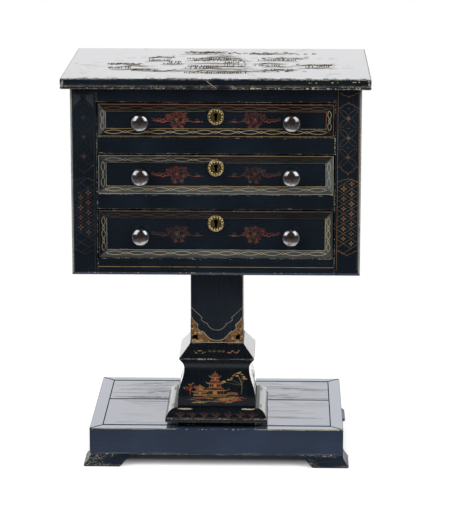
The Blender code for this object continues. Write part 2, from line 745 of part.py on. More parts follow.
def make_vase(table):
    """Vase block with its plinth and tenon below and the column's mortise above."""
    tenon = VASE_TENON_WIDTH / 2
    core = VASE_WIDTH / 2
    seat = PLATFORM_TOP + FIT
    sections = [(tenon, PLATFORM_TOP - VASE_TENON_LENGTH), (tenon, seat), (core, seat)]
    vase = table.part(
        "pedestal_vase", "black_lacquer", square_stack(sections + vase_profile(), PEDESTAL_Y))
    reach = COLUMN_TENON_WIDTH / 2 + FIT
    low = (-reach, PEDESTAL_Y - reach, SHOULDER_TOP - COLUMN_BOTTOM_TENON - FIT)
    high = (reach, PEDESTAL_Y + reach, SHOULDER_TOP + CUT_PAST)
    table.cut(vase, "mortise", box(low, high))


def make_base_moulding(table):
    """Mitred moulding round the foot of the vase: a fillet, a quirk and an ovolo."""
    half = MOULDING_WIDTH / 2
    core = VASE_WIDTH / 2 + FIT
    fillet_top = MOULDING_BOTTOM + MOULDING_FILLET
    ovolo_foot = half - MOULDING_QUIRK
    ovolo_width = ovolo_foot - core - MOULDING_TOP_EDGE
    ovolo_height = MOULDING_TOP - fillet_top
    sections = [(half, MOULDING_BOTTOM), (half, fillet_top)]
    for step in range(CURVE_STEPS + 1):
        angle = math.pi / 2 * step / CURVE_STEPS
        sections.append((
            ovolo_foot - ovolo_width * (1 - math.cos(angle)),
            fillet_top + ovolo_height * math.sin(angle)))
    moulding = table.part("pedestal_base_moulding", "black_lacquer", square_stack(sections, PEDESTAL_Y))
    low = (-core, PEDESTAL_Y - core, MOULDING_BOTTOM - CUT_PAST)
    high = (core, PEDESTAL_Y + core, MOULDING_TOP + CUT_PAST)
    table.cut(moulding, "core", box(low, high))


# Platform

def panel_tongue_levels(clearance):
    high = PLATFORM_TOP - PANEL_TONGUE_DROP + clearance
    low = PLATFORM_TOP - PANEL_TONGUE_DROP - PANEL_TONGUE_THICKNESS - clearance
    return low, high


def make_platform_frame(table):
    """Four boards on edge, mitred at the corners and grooved inside for the panel."""
    half_x = PLATFORM_HALF_X
    half_y = PLATFORM_DEPTH / 2
    low_level, high_level = panel_tongue_levels(FIT)
    groove = PANEL_TONGUE_LENGTH + FIT
    for end, sign in ENDS:
        outline = (
            (-half_x + FIT, sign * half_y), (half_x - FIT, sign * half_y),
            (PANEL_HALF_X - FIT, sign * PANEL_HALF_Y), (-PANEL_HALF_X + FIT, sign * PANEL_HALF_Y))
        points = [(x, y + PLATFORM_Y) for x, y in outline]
        rail = table.part(
            "platform_%s_rail" % end, "black_lacquer",
            prism(points, "Z", PLATFORM_BOTTOM, PLATFORM_TOP))
        edges = sorted((
            sign * (PANEL_HALF_Y - CUT_PAST) + PLATFORM_Y,
            sign * (PANEL_HALF_Y + groove) + PLATFORM_Y))
        table.cut(rail, "groove", box((-half_x, edges[0], low_level), (half_x, edges[1], high_level)))
    for side, sign in SIDES:
        outline = (
            (sign * half_x, -half_y + FIT), (sign * half_x, half_y - FIT),
            (sign * PANEL_HALF_X, PANEL_HALF_Y - FIT), (sign * PANEL_HALF_X, -PANEL_HALF_Y + FIT))
        points = [(x, y + PLATFORM_Y) for x, y in outline]
        member = table.part(
            "platform_%s_end" % side, "black_lacquer",
            prism(points, "Z", PLATFORM_BOTTOM, PLATFORM_TOP))
        edges = sorted((sign * (PANEL_HALF_X - CUT_PAST), sign * (PANEL_HALF_X + groove)))
        low = (edges[0], PLATFORM_Y - half_y, low_level)
        high = (edges[1], PLATFORM_Y + half_y, high_level)
        table.cut(member, "groove", box(low, high))


def make_platform_panel(table):
    """Panel of two boards glued edge to edge, tongued into the frame, with the pedestal's mortise."""
    low_level, high_level = panel_tongue_levels(0.0)
    underside = PLATFORM_TOP - PANEL_THICKNESS
    body = -FIT
    tongue = PANEL_TONGUE_LENGTH
    sections = []
    for reach, level in (
            (body, underside), (body, low_level), (tongue, low_level),
            (tongue, high_level), (body, high_level), (body, PLATFORM_TOP)):
        x = PANEL_HALF_X + reach
        y = PANEL_HALF_Y + reach
        sections.append((-x, x, PLATFORM_Y - y, PLATFORM_Y + y, level))
    panel = table.part("platform_panel", "black_lacquer", stack(sections))
    reach = VASE_TENON_WIDTH / 2 + FIT
    mortise = box(
        (-reach, PEDESTAL_Y - reach, underside - CUT_PAST),
        (reach, PEDESTAL_Y + reach, PLATFORM_TOP + CUT_PAST))
    seam_y = PLATFORM_Y - PANEL_HALF_Y + FRONT_BOARD_DEPTH
    past = PANEL_HALF_X + PANEL_TONGUE_LENGTH + CUT_PAST
    seam = box(
        (-past, seam_y - BOARD_SEAM_WIDTH / 2, PLATFORM_TOP - BOARD_SEAM_DEPTH),
        (past, seam_y + BOARD_SEAM_WIDTH / 2, PLATFORM_TOP + CUT_PAST))
    table.cut(panel, "cuts", mortise, seam)


# Feet

def make_feet(table):
    """Corner brackets that splay outwards to the floor."""
    top = FOOT_HEIGHT - FIT
    outline = [(FOOT_FLARE - FOOT_TOE_ROUND, 0.0), (FOOT_FLARE, FOOT_TOE_HEIGHT)]
    for step in range(1, CURVE_STEPS + 1):
        share = step / CURVE_STEPS
        flare = FOOT_FLARE * (1 - math.sin(math.pi / 2 * share))
        outline.append((flare, FOOT_TOE_HEIGHT + (top - FOOT_TOE_HEIGHT) * share))
    for end, sign_y in ENDS:
        for side, sign_x in SIDES:
            corner_x = sign_x * PLATFORM_HALF_X
            corner_y = PLATFORM_Y + sign_y * PLATFORM_DEPTH / 2
            sections = []
            for flare, level in outline:
                length = FOOT_LENGTH - FOOT_UNDERCUT * (1 - level / top)
                xs = sorted((corner_x + sign_x * flare, corner_x - sign_x * length))
                ys = sorted((corner_y + sign_y * flare, corner_y - sign_y * length))
                sections.append((xs[0], xs[1], ys[0], ys[1], level))
            foot = table.part("%s_%s_foot" % (end, side), "black_lacquer", stack(sections))
            xs = sorted((corner_x - sign_x * FOOT_THICKNESS, corner_x - sign_x * (FOOT_LENGTH + CUT_PAST)))
            ys = sorted((corner_y - sign_y * FOOT_THICKNESS, corner_y - sign_y * (FOOT_LENGTH + CUT_PAST)))
            table.cut(foot, "bracket", box((xs[0], ys[0], -CUT_PAST), (xs[1], ys[1], top + CUT_PAST)))


def main():
    clear_scene()
    table = Table()
    make_top(table)
    make_rails(table)
    make_stiles(table)
    make_side_panels(table)
    make_back_panel(table)
    make_case_bottom(table)
    make_guide_boards(table)
    make_dust_boards(table)
    make_drawers(table)
    make_column(table)
    make_vase(table)
    make_base_moulding(table)
    make_platform_frame(table)
    make_platform_panel(table)
    make_feet(table)


main()
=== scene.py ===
"""Looks of the lacquered pedestal work table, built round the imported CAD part.

Metres, +Z up, front towards -Y: the part's own frame.
"""
import json
import math
import random

import bmesh
import bpy
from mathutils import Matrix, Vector

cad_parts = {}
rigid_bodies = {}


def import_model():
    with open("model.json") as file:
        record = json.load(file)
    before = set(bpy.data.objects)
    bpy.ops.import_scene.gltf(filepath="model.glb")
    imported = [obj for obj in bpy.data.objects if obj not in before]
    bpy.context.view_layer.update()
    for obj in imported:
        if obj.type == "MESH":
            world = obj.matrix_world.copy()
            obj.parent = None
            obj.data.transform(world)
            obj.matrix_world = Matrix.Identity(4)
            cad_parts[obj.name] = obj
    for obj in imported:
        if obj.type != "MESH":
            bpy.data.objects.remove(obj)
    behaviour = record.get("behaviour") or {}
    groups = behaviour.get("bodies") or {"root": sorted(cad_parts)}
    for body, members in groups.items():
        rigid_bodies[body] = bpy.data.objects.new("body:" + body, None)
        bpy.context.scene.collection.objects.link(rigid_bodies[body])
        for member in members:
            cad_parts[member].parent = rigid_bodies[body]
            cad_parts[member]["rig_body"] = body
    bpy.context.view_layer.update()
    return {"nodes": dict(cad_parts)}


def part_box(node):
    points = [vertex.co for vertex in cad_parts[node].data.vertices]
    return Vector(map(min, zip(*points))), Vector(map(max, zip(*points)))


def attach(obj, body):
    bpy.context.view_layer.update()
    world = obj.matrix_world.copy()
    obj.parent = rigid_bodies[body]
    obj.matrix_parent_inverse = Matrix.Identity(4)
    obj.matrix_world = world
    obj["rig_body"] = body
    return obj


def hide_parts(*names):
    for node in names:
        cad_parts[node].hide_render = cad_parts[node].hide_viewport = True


MM = 0.001

# Camera, from the photograph
CAMERA_PLACE = (0.130, -4.610, 1.4165)
CAMERA_LOOK = (-0.0257, 1.0, -0.2302)
CAMERA_LENS = 163.2
CAMERA_REACH = 60.0
SENSOR = 36.0

# Light
WHITE = (1.0, 1.0, 1.0, 1.0)
AMBIENT = 0.40
ROOM_GLOSS = 0.045            # how bright the room in front looks in reflections
GROUND_GLOSS = 0.25           # the same for the ground just in front of the table
CEILING_GLOSS = 0.30          # share of the backdrop's light that the ceiling shows in reflections
WARM_ROOM = (1.0, 0.82, 0.76, 1.0)
LOW_BACKDROP = (0.99, 0.99, 1.0, 1.0)
HIGH_BACKDROP = (0.955, 0.96, 1.0, 1.0)
FLOOR_ALBEDO = 0.90
# The floor's glow is held off the platform's outline, so the dark under the platform is partly painted
# shade
FLOOR_LIFT = 0.50             # light that the white floor adds where it is seen
FLOOR_PAINTED_SHADE_EDGE = (-0.045, 0.015)    # distances outside the platform between which it grows
FLOOR_RADIUS = 0.80
FLOOR_FADE = (0.38, 0.95 * FLOOR_RADIUS)    # distances between which it fades into the backdrop
LAMP_AIM = (0.0, 0.0, 0.42)

# Stretches of a ray's height or depth, from -1 to 1, over which the reflected room changes
GROUND_HEIGHTS = (-0.75, -0.02)
TINT_HEIGHTS = (0.17, 0.26)
CEILING_HEIGHTS = (0.36, 0.80)
WARM_DEPTHS = (-0.80, -0.30)
WALL_DEPTHS = (-0.15, 0.30)

# Lamps: place, side of the square, power, and whether gloss shows it
LAMPS = {
    "left_softbox": ((-2.1, -1.45, 2.4), 2.5, 39.0, True),
    "right_softbox": ((2.2, -1.4, 2.4), 2.5, 39.0, True),
    "overhead_softbox": ((0.0, 0.2, 2.7), 2.2, 28.0, False),
}

# Finish
EDGE_ROUND = 0.9 * MM
BAND_ROUND = 0.5 * MM
WOOD_ROUND = 0.5 * MM
PLATE_ROUND = 0.2 * MM
RELIEF = 0.3 * MM             # depth of brush marks and wood grain
MERGE = 0.01 * MM
FLAT_ANGLE = math.radians(1)
CREASE_ANGLE = math.radians(25)
SHARP_ANGLE = math.radians(60)

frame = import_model()
NODES = frame["nodes"]
DRAWERS = ("drawer_1", "drawer_2", "drawer_3")
SIDES = {"left": -1, "right": 1}


# Colours and shader helpers

def linear(red, green, blue):
    """An sRGB colour from 0 to 255, as linear RGBA."""
    channels = []
    for value in (red, green, blue):
        share = value / 255
        low = share / 12.92
        high = ((share + 0.055) / 1.055) ** 2.4
        channels.append(low if share <= 0.04045 else high)
    return (*channels, 1.0)


def new_material(name):
    material = bpy.data.materials.new(name)
    material.use_nodes = True
    tree = material.node_tree
    return material, tree, tree.nodes["Principled BSDF"]


def set_inputs(tree, node, inputs):
    """Give each socket its value, or a link from another node's output."""
    for socket, value in inputs.items():
        if isinstance(value, bpy.types.NodeSocket):
            tree.links.new(value, node.inputs[socket])
        else:
            node.inputs[socket].default_value = value


def add_node(tree, kind, inputs=None, **settings):
    """Add a node; inputs maps a socket to a value or to another node's output."""
    made = tree.nodes.new(kind)
    for key, value in settings.items():
        setattr(made, key, value)
    set_inputs(tree, made, inputs or {})
    return made


def object_coords(tree, stretch=(1, 1, 1)):
    """Coordinates on the piece, in metres, scaled along each axis."""
    coords = add_node(tree, "ShaderNodeTexCoord")
    scaled = add_node(tree, "ShaderNodeMapping", {"Vector": coords.outputs["Object"], "Scale": stretch})
    return scaled.outputs[0]


def noise(tree, coords, scale, detail, roughness=0.55):
    made = add_node(
        tree, "ShaderNodeTexNoise",
        {"Vector": coords, "Scale": scale, "Detail": detail, "Roughness": roughness})
    return made.outputs[0]


def remap(tree, value, low, high, start=0.0, end=1.0):
    made = add_node(
        tree, "ShaderNodeMapRange", {0: value, 1: low, 2: high, 3: start, 4: end}, clamp=True)
    return made.outputs[0]


def mottle(tree, coords, scale, low, high, detail=3.0, roughness=0.55):
    """Noise from 0, where it is below the low level, to 1, where it is above the high one."""
    return remap(tree, noise(tree, coords, scale, detail, roughness), low, high)


def calculate(tree, operation, first, second=0.0):
    return add_node(tree, "ShaderNodeMath", {0: first, 1: second}, operation=operation).outputs[0]


def multiply(tree, first, second):
    return calculate(tree, "MULTIPLY", first, second)


def mix(tree, share, first, second):
    made = add_node(tree, "ShaderNodeMix", {0: share, 6: first, 7: second}, data_type="RGBA")
    return made.outputs[2]


def relief(tree, height, strength):
    """Shallow relief in the surface, as a normal."""
    made = add_node(
        tree, "ShaderNodeBump", {"Height": height, "Distance": RELIEF, "Strength": strength})
    return made.outputs[0]


# Materials

ALONG_X = (0.06, 1, 1)
ALONG_Y = (1, 0.06, 1)
ALONG_Z = (1, 1, 0.06)
CREAM = linear(196, 186, 158)
GREY_WOOD = linear(112, 110, 104)


def chip_lacquer(tree, coords, chipped, tone, rough):
    """Patches of fine chips through to the gesso and the wood."""
    bare = mix(tree, mottle(tree, coords, 60.0, 0.4, 0.6, 4.0), GREY_WOOD, CREAM)
    spread = 0.22 * chipped
    patches = mottle(tree, coords, 34.0, 0.62 - spread, 0.72 - spread)
    specks = mottle(tree, coords, 420.0, 0.60 - spread / 2, 0.66 - spread / 2, 3.0, 0.6)
    chips = multiply(tree, patches, specks)
    return mix(tree, chips, tone, bare), calculate(tree, "MAXIMUM", rough, chips)


def lacquer(name, film, faded, grain=ALONG_X, chipped=0.0, roughness=0.24, streak=1.0, varnish=None):
    """Japanning brushed along the grain; it can be chipped to the gesso, or carry a clear varnish."""
    material, tree, shader = new_material(name)
    coords = object_coords(tree)
    along = object_coords(tree, grain)
    drift = mottle(tree, coords, 11.0, 0.35, 0.70)
    strokes = mottle(tree, along, 190.0, 0.40, 0.75, 5.0)
    light = calculate(tree, "MAXIMUM", multiply(tree, drift, 0.7), multiply(tree, strokes, streak))
    tone = mix(tree, light, linear(*film), linear(*faded))
    rough = remap(tree, strokes, 0.0, 1.0, roughness, roughness + 0.12)
    if chipped:
        tone, rough = chip_lacquer(tree, coords, chipped, tone, rough)
    ripple = relief(tree, noise(tree, along, 150.0, 5.0), 0.04 if varnish else 0.10)
    set_inputs(tree, shader, {
        "Base Color": tone, "Roughness": rough, "Normal": ripple, "IOR": 1.5,
        "Specular IOR Level": 1.0 if varnish else 0.25})
    if varnish:
        set_inputs(tree, shader, {"Coat Weight": 1.0, "Coat Roughness": 0.05, "Coat IOR": varnish})
    return material


def bare_wood(name, grain):
    """Unpainted deal, with its grain along one axis."""
    material, tree, shader = new_material(name)
    along = object_coords(tree, grain)
    rings = mottle(tree, along, 60.0, 0.35, 0.68, 6.0, 0.6)
    streaks = mottle(tree, along, 240.0, 0.40, 0.75)
    wood = mix(tree, rings, linear(176, 136, 92), linear(134, 94, 58))
    aged = mix(tree, multiply(tree, streaks, 0.5), wood, linear(92, 62, 38))
    set_inputs(tree, shader, {
        "Base Color": aged, "Roughness": 0.62, "Normal": relief(tree, streaks, 0.25)})
    return material


def paint(name, colour, rubbed, wear, matte):
    """Ornament paint, rubbed back towards the lacquer in places."""
    material, tree, shader = new_material(name)
    coords = object_coords(tree)
    broad = mottle(tree, coords, 30.0, 0.60 - 0.30 * wear, 0.85 - 0.30 * wear)
    fine = mottle(tree, coords, 300.0, 0.35, 0.65)
    tone = mix(tree, multiply(tree, broad, fine), linear(*colour), linear(*rubbed))
    set_inputs(tree, shader, {
        "Base Color": tone, "Roughness": 0.85 if matte else 0.48,
        "Specular IOR Level": 0.05 if matte else 0.5})
    return material


def metal(name, bright, dark, roughness, spots):
    """Old metal, tarnished and rougher in spots: their scale, low and high level, and detail."""
    material, tree, shader = new_material(name)
    tarnish = mottle(tree, object_coords(tree), *spots)
    tone = mix(tree, tarnish, linear(*bright), linear(*dark))
    rough = remap(tree, tarnish, 0.0, 1.0, *roughness)
    set_inputs(tree, shader, {"Base Color": tone, "Roughness": rough, "Metallic": 1.0})
    return material


def steel(name):
    """Bright steel with fine drawn marks."""
    material, tree, shader = new_material(name)
    marks = mottle(tree, object_coords(tree, ALONG_Z), 900.0, 0.35, 0.70)
    tone = mix(tree, marks, linear(160, 160, 160), linear(118, 116, 112))
    set_inputs(tree, shader, {"Base Color": tone, "Roughness": 0.35, "Metallic": 1.0})
    return material


BLACK_FILM = (17, 26, 35)
# The platform's upward faces are a lighter blue than its slate sides: partly worn colour, partly painted
# light standing in for the pale backdrop that the top reflects
BLACK_FADED = (29, 41, 52)
PLATFORM_LIGHTENED_FILM = (50, 70, 96)
PLATFORM_LIGHTENED_FADED = (77, 96, 123)
PLATFORM_END_LIGHTENED_FADED = (94, 112, 139)
CALM = 0.30                   # share of the brush marks that shows on the smooth front
THIN_VARNISH = 1.8            # coat IOR
THICK_VARNISH = 2.3
BRASS_SPOTS = (260.0, 0.42, 0.68, 4.0)
KNOB_SPOTS = (150.0, 0.48, 0.70, 5.0)

FINISH = {
    "case": lacquer("case_lacquer", BLACK_FILM, BLACK_FADED, streak=CALM),
    # painted light: the top rail's lacquer is lighter than the case's, to offset the shade under the top's
    # overhang
    "shaded": lacquer("shaded_lacquer", (22, 31, 42), (34, 45, 57), streak=CALM),
    "upright": lacquer("upright_lacquer", BLACK_FILM, BLACK_FADED, ALONG_Z, streak=CALM),
    "edge": lacquer("worn_edge", BLACK_FILM, (40, 46, 54), chipped=0.85, roughness=0.35),
    "top": lacquer("top_lacquer", (26, 33, 40), (44, 50, 58), roughness=0.06, varnish=THIN_VARNISH),
    "top_edge": lacquer("top_worn_edge", BLACK_FILM, (44, 48, 54), chipped=1.15, roughness=0.4),
    "column": lacquer("column_lacquer", (26, 34, 44), (42, 51, 61), ALONG_Z, streak=CALM),
    "pedestal": lacquer("pedestal_lacquer", (11, 18, 25), (22, 30, 38), ALONG_Z, streak=CALM),
    "return": lacquer(
        "return_lacquer", (12, 18, 26), (26, 32, 42), ALONG_Z, roughness=0.14, varnish=THIN_VARNISH),
    "platform": lacquer(
        "platform_lacquer", PLATFORM_LIGHTENED_FILM, PLATFORM_LIGHTENED_FADED, roughness=0.08, varnish=THICK_VARNISH),
    "platform_rail": lacquer(
        "platform_rail_lacquer", PLATFORM_LIGHTENED_FADED, PLATFORM_END_LIGHTENED_FADED, roughness=0.08,
        varnish=THICK_VARNISH),
    "platform_end": lacquer(
        "platform_end_lacquer", PLATFORM_LIGHTENED_FADED, PLATFORM_END_LIGHTENED_FADED, ALONG_Y, roughness=0.08,
        varnish=THICK_VARNISH),
    "slate": lacquer("slate_lacquer", (24, 40, 62), (38, 55, 80), streak=CALM),
    "foot": lacquer("foot_lacquer", (14, 24, 36), (36, 46, 60), chipped=0.55, roughness=0.3),
    # Border shades: partly uneven wear, partly painted light, with lighter tones on the lower,
    # upward-sloping sides of most drawers and darker ones on the upper sides
    "band_dark": lacquer("band_dark", (14, 17, 21), (30, 32, 35), roughness=0.32),
    "band_dim": lacquer("band_dim", (20, 25, 29), (42, 46, 50), roughness=0.32),
    "band_mid": lacquer("band_mid", (26, 32, 37), (54, 58, 62), roughness=0.32),
    "band_light": lacquer("band_light", (58, 64, 68), (98, 100, 100), roughness=0.32),
    "band_pale": lacquer("band_pale", (74, 82, 86), (128, 134, 134), ALONG_Z, roughness=0.32),
    "band_olive": lacquer("band_olive", (48, 52, 48), (104, 104, 84), ALONG_Z, roughness=0.32),
    "wood_x": bare_wood("deal_across", ALONG_X),
    "wood_y": bare_wood("deal_lengthwise", ALONG_Y),
    "brass": metal("aged_brass", (252, 234, 180), (196, 168, 108), (0.24, 0.44), BRASS_SPOTS),
    "well_brass": metal("worn_brass", (188, 164, 110), (104, 90, 58), (0.32, 0.52), BRASS_SPOTS),
    "dark_brass": metal("tarnished_brass", (62, 50, 28), (36, 28, 16), (0.36, 0.56), BRASS_SPOTS),
    # painted shade: the lock is near black so that the keyhole in front of it reads as a dark hole
    "lock_iron": metal("lock_iron", (16, 15, 14), (10, 9, 9), (0.45, 0.65), BRASS_SPOTS),
    "knob": metal("polished_knob_metal", (172, 173, 176), (106, 92, 82), (0.16, 0.24), KNOB_SPOTS),
    "steel": steel("bolt_steel"),
}

# Ornament paints in the order that they cover each other: colour, rubbed colour, wear
PAINT_COLOURS = {
    "grain": ((106, 117, 132), (136, 147, 162), 0.5),
    # band_wear: wear, scrapes and border lines, and a painted highlight down the case's outer edges
    "band_wear": ((150, 154, 154), (92, 97, 100), 0.5),
    "haze": ((50, 57, 66), (30, 38, 46), 0.5),
    # slate_edge: rubbing on a drawer's border, and a painted sheen along the case's foot
    "slate_edge": ((72, 80, 98), (40, 46, 60), 0.4),
    "umber": ((98, 70, 46), (48, 38, 32), 0.5),
    "amber": ((122, 82, 44), (78, 56, 38), 0.5),
    "deep_rust": ((38, 27, 30), (24, 25, 30), 0.5),
    "faint_rust": ((106, 60, 52), (40, 36, 40), 0.6),
    "brown": ((138, 92, 70), (66, 50, 46), 0.5),
    "dim_rust": ((144, 72, 60), (54, 40, 40), 0.55),
    "rust": ((184, 86, 58), (86, 48, 40), 0.5),
    "bronze": ((140, 100, 62), (58, 48, 42), 0.5),
    "orange": ((180, 108, 60), (96, 60, 42), 0.4),
    "faint_gilt": ((64, 60, 52), (28, 34, 40), 0.7),
    "dull_gilt": ((112, 98, 70), (44, 44, 46), 0.55),
    "band_gilt": ((178, 170, 142), (104, 102, 94), 0.45),
    "gilt": ((180, 144, 82), (92, 76, 54), 0.45),
    "leaf_green": ((150, 142, 66), (74, 78, 52), 0.4),
    "pale_gilt": ((208, 194, 156), (118, 108, 86), 0.45),
    "cream": ((206, 198, 172), (126, 122, 110), 0.35),
    "sepia": ((122, 104, 70), (156, 140, 104), 0.5),
    "ink": ((58, 51, 37), (94, 83, 59), 0.5),
    "crack": ((24, 24, 28), (52, 52, 56), 0.3),
    "black": ((4, 5, 6), (9, 9, 10), 0.2),
}
MATTE_PAINTS = ("grain", "sepia", "ink", "crack", "black")
FIRST_LIFT = 0.18 * MM
LIFT_STEP = 0.02 * MM
CROSSING_STEP = 0.001 * MM    # keeps strokes of one paint apart where they cross
CROSSING_STEPS = 19

PAINTS = {}
for order, (paint_name, (colour, rubbed, rub)) in enumerate(PAINT_COLOURS.items()):
    finish = paint(paint_name + "_paint", colour, rubbed, rub, paint_name in MATTE_PAINTS)
    PAINTS[paint_name] = (finish, FIRST_LIFT + LIFT_STEP * order)


# Pieces dressed from the CAD solids

DRESSED = []


def mesh_from(bm, name):
    mesh = bpy.data.meshes.new(name)
    bm.to_mesh(mesh)
    bm.free()
    return mesh


def clean_copy(node):
    """A copy of a solid's mesh with its triangles joined into whole faces."""
    bm = bmesh.new()
    bm.from_mesh(NODES[node].data)
    bmesh.ops.remove_doubles(bm, verts=bm.verts[:], dist=MERGE)
    bmesh.ops.dissolve_limit(
        bm, angle_limit=FLAT_ANGLE, verts=bm.verts[:], edges=bm.edges[:])
    return mesh_from(bm, node + "_dressed")


def add_object(name, mesh):
    obj = bpy.data.objects.new(name, mesh)
    bpy.context.scene.collection.objects.link(obj)
    return obj


def dress(node, finish, edge="edge", rounding=EDGE_ROUND):
    """Stand a copy with rounded, separately worn edges in place of a CAD node."""
    obj = add_object(node + "_dressed", clean_copy(node))
    obj.data.materials.append(FINISH[finish])
    obj.data.materials.append(FINISH[edge])
    rounded = obj.modifiers.new("rounding", "BEVEL")
    rounded.width = rounding
    rounded.segments = 2
    rounded.limit_method = "ANGLE"
    rounded.angle_limit = CREASE_ANGLE
    rounded.material = 1
    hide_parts(node)
    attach(obj, NODES[node]["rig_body"])
    DRESSED.append(obj)
    return obj


def dress_wood(node, finish):
    """Plain wood with its edges eased."""
    dress(node, finish, finish, WOOD_ROUND)


def refinish(obj, finish, faces_that):
    """Give another finish to the faces whose normal passes a test."""
    index = len(obj.data.materials)
    obj.data.materials.append(FINISH[finish])
    for face in obj.data.polygons:
        if faces_that(face.normal):
            face.material_index = index


def looks_up(normal):
    return normal.z > 0.9


def looks_sideways(normal):
    return abs(normal.x) > 0.25


def looks_back(normal):
    return normal.y > 0.5


def apply_modifiers():
    depsgraph = bpy.context.evaluated_depsgraph_get()
    for obj in DRESSED:
        mesh = bpy.data.meshes.new_from_object(obj.evaluated_get(depsgraph))
        obj.modifiers.clear()
        obj.data = mesh


def settle_rounding():
    """Make the rounded edges part of the meshes, with the wide faces between them shaded flat."""
    apply_modifiers()
    for obj in DRESSED:
        obj.data.shade_smooth()
        obj.data.set_sharp_from_angle(angle=SHARP_ANGLE)
        even = obj.modifiers.new("even_shading", "WEIGHTED_NORMAL")
        even.keep_sharp = True
    apply_modifiers()


def dress_case():
    # the top rail takes the lacquer painted lighter against the shade of the top's overhang
    dress("top_rail", "shaded")
    for node in ("upper_divider_rail", "lower_divider_rail", "bottom_rail"):
        dress(node, "case")
    for node in ("left_stile", "right_stile", "left_side_panel", "right_side_panel", "back_panel"):
        dress(node, "upright")
    top = dress("table_top", "case", "top_edge")
    refinish(top, "top", looks_up)
    dress_wood("case_bottom", "wood_x")
    for side in SIDES:
        dress_wood(side + "_guide_board", "wood_y")
    for level in ("upper", "lower"):
        dress_wood(level + "_dust_board", "wood_x")


def dress_pedestal():
    dress("pedestal_column", "column")
    for node in ("pedestal_vase", "pedestal_base_moulding"):
        refinish(dress(node, "pedestal"), "return", looks_sideways)
    for end in ("front", "back"):
        # upward faces take the lighter platform lacquers, partly painted light
        refinish(dress("platform_%s_rail" % end, "slate"), "platform_rail", looks_up)
        for side in SIDES:
            dress("%s_%s_foot" % (end, side), "foot")
    for side in SIDES:
        refinish(dress("platform_%s_end" % side, "slate"), "platform_end", looks_up)
    dress("platform_panel", "platform")


# Sides of each drawer's sloping border: finish, and paints of its chain, inner and outer line;
# a chain that fades has one paint for its left half and one for its right
# the lighter finishes on the lower sides and the darker ones on the upper sides partly paint the light
# that falls from above
DRAWER_BORDERS = {
    "drawer_1": {
        "lower": ("band_dark", "pale_gilt", "gilt", "gilt"),
        "upper": ("band_dark", ("dull_gilt", "bronze"), "bronze", "orange"),
        "left": ("band_light", "cream", "band_gilt", "faint_gilt"),
        "right": ("band_dark", "cream", "orange", "bronze"),
    },
    "drawer_2": {
        "lower": ("band_light", "pale_gilt", "gilt", "cream"),
        "upper": ("band_dim", ("band_gilt", "faint_gilt"), "dull_gilt", "gilt"),
        "left": ("band_mid", "band_gilt", "band_wear", "band_wear"),
        "right": ("band_pale", "cream", "band_wear", "pale_gilt"),
    },
    "drawer_3": {
        "lower": ("band_light", "pale_gilt", "band_wear", "dull_gilt"),
        "upper": ("band_dark", ("umber", "deep_rust"), "faint_gilt", "bronze"),
        "left": ("band_dark", "band_gilt", "band_wear", "faint_gilt"),
        "right": ("band_olive", "cream", "pale_gilt", "faint_gilt"),
    },
}
# Way that each side of the border slopes, besides to the front
BORDER_SLOPES = {"lower": (0, 0, 1), "upper": (0, 0, -1), "left": (1, 0, 0), "right": (-1, 0, 0)}
BAND_TILT = 0.1
BAND_FACING = -0.5
DISH_TILT = -0.98


def dress_border(name):
    """The planted border of a drawer, with a finish of its own on each of its four slopes."""
    border = dress(name + "_front_moulding", "case", "edge", BAND_ROUND)
    for part, slope in BORDER_SLOPES.items():
        way = Vector(slope)
        finish = DRAWER_BORDERS[name][part][0]
        refinish(border, finish, lambda normal: normal.y < BAND_FACING and normal.dot(way) > BAND_TILT)


def dress_drawers():
    for name in DRAWERS:
        front = dress(name + "_front", "case", "case")
        refinish(front, "wood_x", looks_back)
        dress_border(name)
        for side in SIDES:
            dress_wood("%s_%s_side" % (name, side), "wood_y")
        dress_wood(name + "_back", "wood_x")
        dress_wood(name + "_bottom", "wood_x")
        plate = dress(name + "_escutcheon", "well_brass", "brass", PLATE_ROUND)
        refinish(plate, "dark_brass", lambda normal: normal.y > DISH_TILT)
        for part, finish, slot in (("lock", "lock_iron", "brass"), ("lock_bolt", "steel", "steel")):
            cover_node(name + "_" + part, finish, slot)


def cover_node(node, finish, slot):
    """Give a CAD node that stays in view its finish."""
    NODES[node].data.materials.clear()
    NODES[node].data.materials.append(FINISH[finish])


# Knobs and escutcheons, finer than the solids that they stand for

TURN_STEPS = 48
HEAD_STEPS = 28
NECK_STEPS = 6
NECK_LENGTH = 0.27            # share of the knob's length
NECK_RADIUS = 0.42            # shares of its radius
FOOT_RADIUS = 0.61
RIM_STEPS = 8
RIM_WIDTH = 1.8 * MM
RIM_HEIGHT = 0.9 * MM
BEADS = 14
BEAD_RADIUS = 2.3 * MM
BEAD_INSET = 3.5 * MM


def turned_mesh(name, profile, centre, hollow=False):
    """Turn a profile of (radius, distance forward) about a line along Y; a hollow one is a ring."""
    bm = bmesh.new()
    rings = []
    for radius, forward in profile:
        ring = []
        for step in range(TURN_STEPS):
            angle = 2 * math.pi * step / TURN_STEPS
            offset = Vector((radius * math.cos(angle), -forward, radius * math.sin(angle)))
            ring.append(bm.verts.new(centre + offset))
        rings.append(ring)
    following = rings[1:] + rings[:1] if hollow else rings[1:]
    for first, second in zip(rings, following):
        for i in range(TURN_STEPS):
            j = (i + 1) % TURN_STEPS
            bm.faces.new((first[i], first[j], second[j], second[i]))
    if not hollow:
        bm.faces.new(rings[0])
        bm.faces.new(rings[-1])
    bmesh.ops.recalc_face_normals(bm, faces=bm.faces[:])
    mesh = mesh_from(bm, name)
    mesh.shade_smooth()
    return mesh


